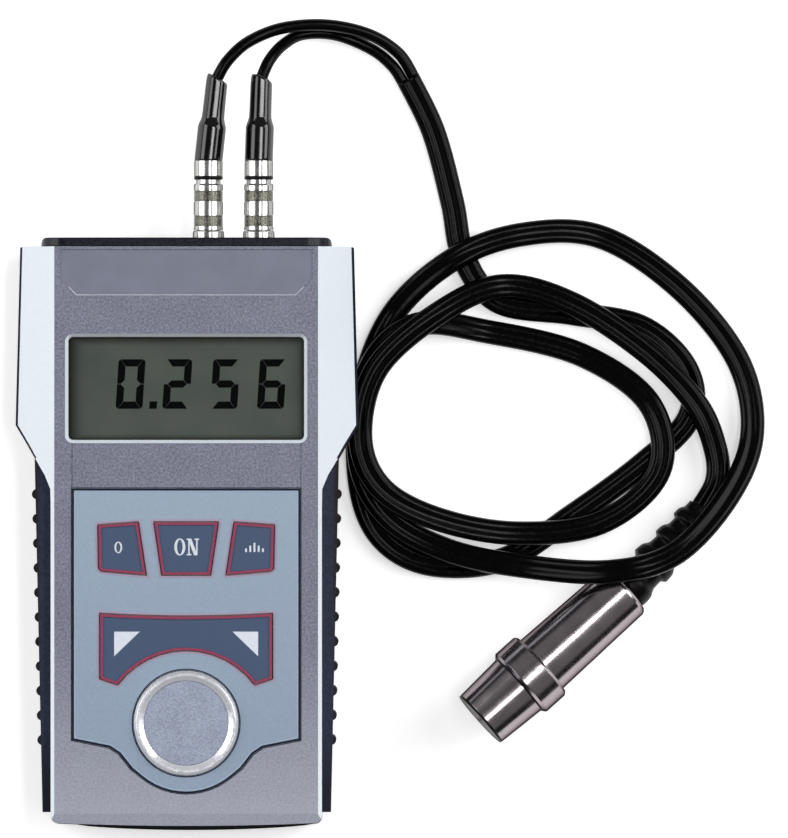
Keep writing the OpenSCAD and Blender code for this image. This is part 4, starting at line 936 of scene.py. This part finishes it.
def segments(w, h, s, gap):
    """Outlines of the seven segments of a digit whose lower left corner is 0, 0."""
    mid, half, tip = h / 2, s / 2, 0.25 * s

    def level(y_low, y_high, low_cut, high_cut):
        return [(low_cut, y_low), (w - low_cut, y_low), (w - high_cut, y_high), (high_cut, y_high)]

    upright_low = [(0, gap + tip), (gap + tip, gap), (s, s + gap), (s, mid - half - gap), (half, mid - gap),
                   (0, mid - gap)]
    upright_high = [(x, h - y) for x, y in upright_low]
    middle = [(half + gap, mid), (s + gap, mid - half), (w - s - gap, mid - half), (w - half - gap, mid),
              (w - s - gap, mid + half), (s + gap, mid + half)]
    return {
        "a": level(h - s, h, s + gap, tip + gap),
        "d": level(0, s, tip + gap, s + gap),
        "g": middle,
        "e": upright_low, "f": upright_high,
        "c": [(w - x, y) for x, y in upright_low], "b": [(w - x, y) for x, y in upright_high],
    }


def make_digits():
    """The digits that the display shows, lying on its glass."""
    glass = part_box("lcd_glass")[1].z / MM
    shapes = segments(DIGIT_W, DIGIT_H, STROKE, GAP)
    outlines = [[(x + px + SLANT * py, DIGIT_FOOT_Y + py) for px, py in shapes[s]]
                for digit, x in DIGITS for s in LIT[digit]]
    outlines.append([(x, DIGIT_FOOT_Y + y) for x, y in DOT])
    plates("display_digits", outlines, glass, glass + 2 * PRINT, "segments", HOUSING)


make_digits()


# The label field, and its pale edge strip, whose colour paints the edge's highlight: width, shifts at its
# corners and ends, and heights of its three lines
LABEL_HALF_W, LABEL_TOP, LABEL_H = 27.0, 61.0, 9.8
LABEL_CUT = LABEL_H * 0.36
STRIP_W, STRIP_CORNER, STRIP_END = 0.22, 0.09, 0.16
STRIP_HEIGHTS = (24.99, 24.77, 24.75)


def make_label_highlight_strip():
    """The moulded lower edge of the label field, as a narrow sloping strip in a pale colour that paints its
    highlight.
    """
    low_y, corner_x = LABEL_TOP - LABEL_H, LABEL_HALF_W - LABEL_CUT
    end_x, end_y = LABEL_HALF_W - LABEL_CUT / 2, low_y + LABEL_CUT / 2
    line = mirrored([(end_x, end_y), (corner_x, low_y)])
    inner = mirrored([(end_x - STRIP_END, end_y + STRIP_END), (corner_x - STRIP_CORNER, low_y + STRIP_W)])
    count = len(line)
    points = [Vector((x, y, z)) * MM for row, z in zip((line, inner, line), STRIP_HEIGHTS) for x, y in row]
    faces = [(a * count + k, a * count + k + 1, b * count + k + 1, b * count + k)
             for a, b in ((0, 1), (1, 2), (2, 0)) for k in range(count - 1)]
    faces += [(0, count, 2 * count), (count - 1, 3 * count - 1, 2 * count - 1)]
    add("label_highlight_strip", points, faces, "painted_label_highlight", HOUSING, smooth=False)


make_label_highlight_strip()


SCREW_X, SCREW_Y = 24.6, 53.7
CROSS_ARM, CROSS_HALF_W = 1.3, 0.28


def rectangle(x, y, half_w, half_h):
    return [(x - half_w, y - half_h), (x + half_w, y - half_h), (x + half_w, y + half_h),
            (x - half_w, y + half_h)]


def make_screw_cross_shade():
    """Cross recesses in the heads of the case screws, as flat black marks whose colour paints the shade
    inside them.
    """
    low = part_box("case_screws")[0].z / MM
    outlines = [rectangle(x, y, *half) for x in (-SCREW_X, SCREW_X) for y in (-SCREW_Y, SCREW_Y)
                for half in ((CROSS_ARM, CROSS_HALF_W), (CROSS_HALF_W, CROSS_ARM))]
    plates("screw_cross_shade", outlines, low - PRINT, low + PRINT, "black_seal_and_shade", HOUSING)


make_screw_cross_shade()

# The right wing's outer edge, from its root at the waist to the top, and the sections of its two dark strips:
# the seam between the shells, and a rim strip of painted shade along the slope's outer edge
WING_LINE = [(29, 6.42), (29.08, 9.75), (30.29, 12.71), (32.42, 16.29), (34.09, 19.25), (36.6, 23.45),
             (35.6, 61.6)]
SEAM_OUT, SEAM_IN, SEAM_LOW, SEAM_HIGH = 0.26, 0.3, 10.35, 10.9
RIM_OUT, RIM_IN, RIM_LIFT, RIM_SINK = 0.02, 0.3, 0.03, 0.05
FACE_EDGE_X, FACE_Z, WING_FALL = 28.2, 25.0, 12 / 8.4


def wing_strip(name, sign, line, section):
    """A narrow strip along a wing's edge; a height of None is on the wing's slope, plus the lift."""
    points, faces = [], []
    for i, (x, y) in enumerate(line):
        before, after = line[max(0, i - 1)], line[min(len(line) - 1, i + 1)]
        way = Vector((after[0] - before[0], after[1] - before[1])).normalized()
        for out, z, lift in section:
            px, py = x + way.y * out, y - way.x * out
            level = FACE_Z - (px - FACE_EDGE_X) * WING_FALL if z is None else z
            points.append(Vector((sign * px, py, level + lift)) * MM)
    last = len(line) - 1
    faces = [(4 * i + k, 4 * i + (k + 1) % 4, 4 * i + 4 + (k + 1) % 4, 4 * i + 4 + k)
             for i in range(last) for k in range(4)]
    faces += [(3, 2, 1, 0), (4 * last, 4 * last + 1, 4 * last + 2, 4 * last + 3)]
    if sign < 0:
        faces = [face[::-1] for face in faces]
    add(name, points, faces, "film_line", HOUSING, smooth=False)


SEAM = [(SEAM_OUT, SEAM_LOW, 0), (SEAM_OUT, SEAM_HIGH, 0), (-SEAM_IN, SEAM_HIGH, 0), (-SEAM_IN, SEAM_LOW, 0)]
# A black strip on the wing's slope along its outer edge: painted shade
RIM_SHADE_SECTION = [(RIM_OUT, None, -RIM_SINK), (RIM_OUT, None, RIM_LIFT), (-RIM_IN, None, RIM_LIFT),
       (-RIM_IN, None, -RIM_SINK)]
RIM_START = 3
for side, sign in zip(SIDES, (-1, 1)):
    wing_strip(f"wing_seam_{side}", sign, WING_LINE, SEAM)
    wing_strip(f"wing_rim_shade_{side}", sign, WING_LINE[RIM_START:], RIM_SHADE_SECTION)


# The rear shell's bowed foot, and a black lip past the front shell there, which stands for the rear shell's
# edge and paints the shadow under the foot
FOOT_Y, FOOT_BOW, FOOT_HALF_W = -61.7, 0.6, 27.5
LIP_X, LIP_Z = (-23.5, 27.0), (10.2, 10.8)
LIP_LAP, LIP_OUT, LIP_BACK, LIP_TIP, LIP_STEPS = 0.5, 0.75, 0.3, 0.02, 24


def make_foot_lip_shadow():
    """A black lip along the foot, widest at its middle: partly the rear shell's edge, partly painted shadow
    under the foot.
    """
    points = []
    for i in range(LIP_STEPS + 1):
        x = LIP_X[0] + (LIP_X[1] - LIP_X[0]) * i / LIP_STEPS
        y = FOOT_Y - LIP_LAP - FOOT_BOW * (1 - (x / FOOT_HALF_W) ** 2)
        reach = LIP_OUT * math.sqrt(math.sin(math.pi * i / LIP_STEPS)) if 0 < i < LIP_STEPS else LIP_TIP
        points += [Vector((x, y - reach, z)) * MM for z in LIP_Z]
        points += [Vector((x, y + LIP_BACK, z)) * MM for z in reversed(LIP_Z)]
    faces = [(4 * i + k, 4 * i + 4 + k, 4 * i + 4 + (k + 1) % 4, 4 * i + (k + 1) % 4)
             for i in range(LIP_STEPS) for k in range(4)]
    faces += [(0, 1, 2, 3), tuple(4 * LIP_STEPS + k for k in (3, 2, 1, 0))]
    add("foot_lip_shadow", points, faces, "black_seal_and_shade", HOUSING, smooth=False)


make_foot_lip_shadow()


# ---- floor, light ----

FLOOR_HALF, FLOOR_Z = 6.0, -0.0002
FLOOR_GREY, FLOOR_GLOW = (0.86, 0.86, 0.86, 1), 0.5
WORLD_LIGHT = 0.22

# Level of the sky at shares of the way from straight below to straight above
SKY = [(0.0, 0.05), (0.34, 0.1), (0.5, 1.0), (0.88, 1.0), (0.97, 0.5)]

# Each lamp's name, direction, width and height, share of the light, and the axis that its height follows
LAMP_DISTANCE = 1.6
LAMPS = [
    ("key_light", (0.21, 0, 1), (0.17, 0.9), 0.21, "X"),
    ("left_light", (-1, 0.25, 0.68), (1.1, 1.3), 0.63, "Y"),
    ("right_light", (1, 0.36, 0.84), (1.0, 1.1), 0.64, "Y"),
]


def make_floor():
    """A pale floor that shows the camera white, and keeps the object's soft shadow."""
    corners = [(-1, -1), (1, -1), (1, 1), (-1, 1)]
    mesh = bpy.data.meshes.new("floor")
    mesh.from_pydata([(x * FLOOR_HALF, y * FLOOR_HALF, 0) for x, y in corners], [], [(0, 1, 2, 3)])
    floor = bpy.data.objects.new("floor", mesh)
    floor.location = (0, 0, FLOOR_Z)
    bpy.context.scene.collection.objects.link(floor)
    n = Nodes("floor")
    n.set(Base_Color=FLOOR_GREY, Roughness=0.9, Specular_IOR_Level=0.1, Emission_Color=(1, 1, 1, 1))
    path = n.new("ShaderNodeLightPath")
    seen = n.math("MAXIMUM", path.outputs["Is Camera Ray"],
                  n.math("MAXIMUM", path.outputs["Is Glossy Ray"], path.outputs["Is Transmission Ray"]))
    n.feed(n.math("MULTIPLY", seen, FLOOR_GLOW), n.shader.inputs["Emission Strength"])
    mesh.materials.append(n.material)


def make_world():
    """Soft white light from all round, dimmer straight above and below the horizon."""
    world = bpy.data.worlds.new("studio")
    bpy.context.scene.world = world
    world.use_nodes = True
    tree = world.node_tree
    split = tree.nodes.new("ShaderNodeSeparateXYZ")
    tree.links.new(tree.nodes.new("ShaderNodeTexCoord").outputs["Generated"], split.inputs["Vector"])
    ramp = tree.nodes.new("ShaderNodeValToRGB")
    tree.links.new(split.outputs["Z"], ramp.inputs["Fac"])
    set_stops(ramp.color_ramp, [(place, (level, level, level, 1)) for place, level in SKY])
    background = tree.nodes["Background"]
    tree.links.new(ramp.outputs["Color"], background.inputs["Color"])
    background.inputs["Strength"].default_value = WORLD_LIGHT


def add_lamp(name, direction, size, share, up):
    """A soft box that adds its share of a plain level of light on what faces it."""
    data = bpy.data.lights.new(name, "AREA")
    data.shape = "RECTANGLE"
    data.size, data.size_y = size
    data.energy = share * math.pi ** 2 * LAMP_DISTANCE ** 2
    lamp = bpy.data.objects.new(name, data)
    target = Vector((MIDDLE[0] * MM, MIDDLE[1] * MM, 0))
    way = Vector(direction).normalized()
    lamp.location = target + way * LAMP_DISTANCE
    lamp.rotation_euler = way.to_track_quat("Z", up).to_euler()
    bpy.context.scene.collection.objects.link(lamp)


make_floor()
make_world()
for lamp_row in LAMPS:
    add_lamp(*lamp_row)

bpy.context.scene.view_settings.view_transform = "Standard"
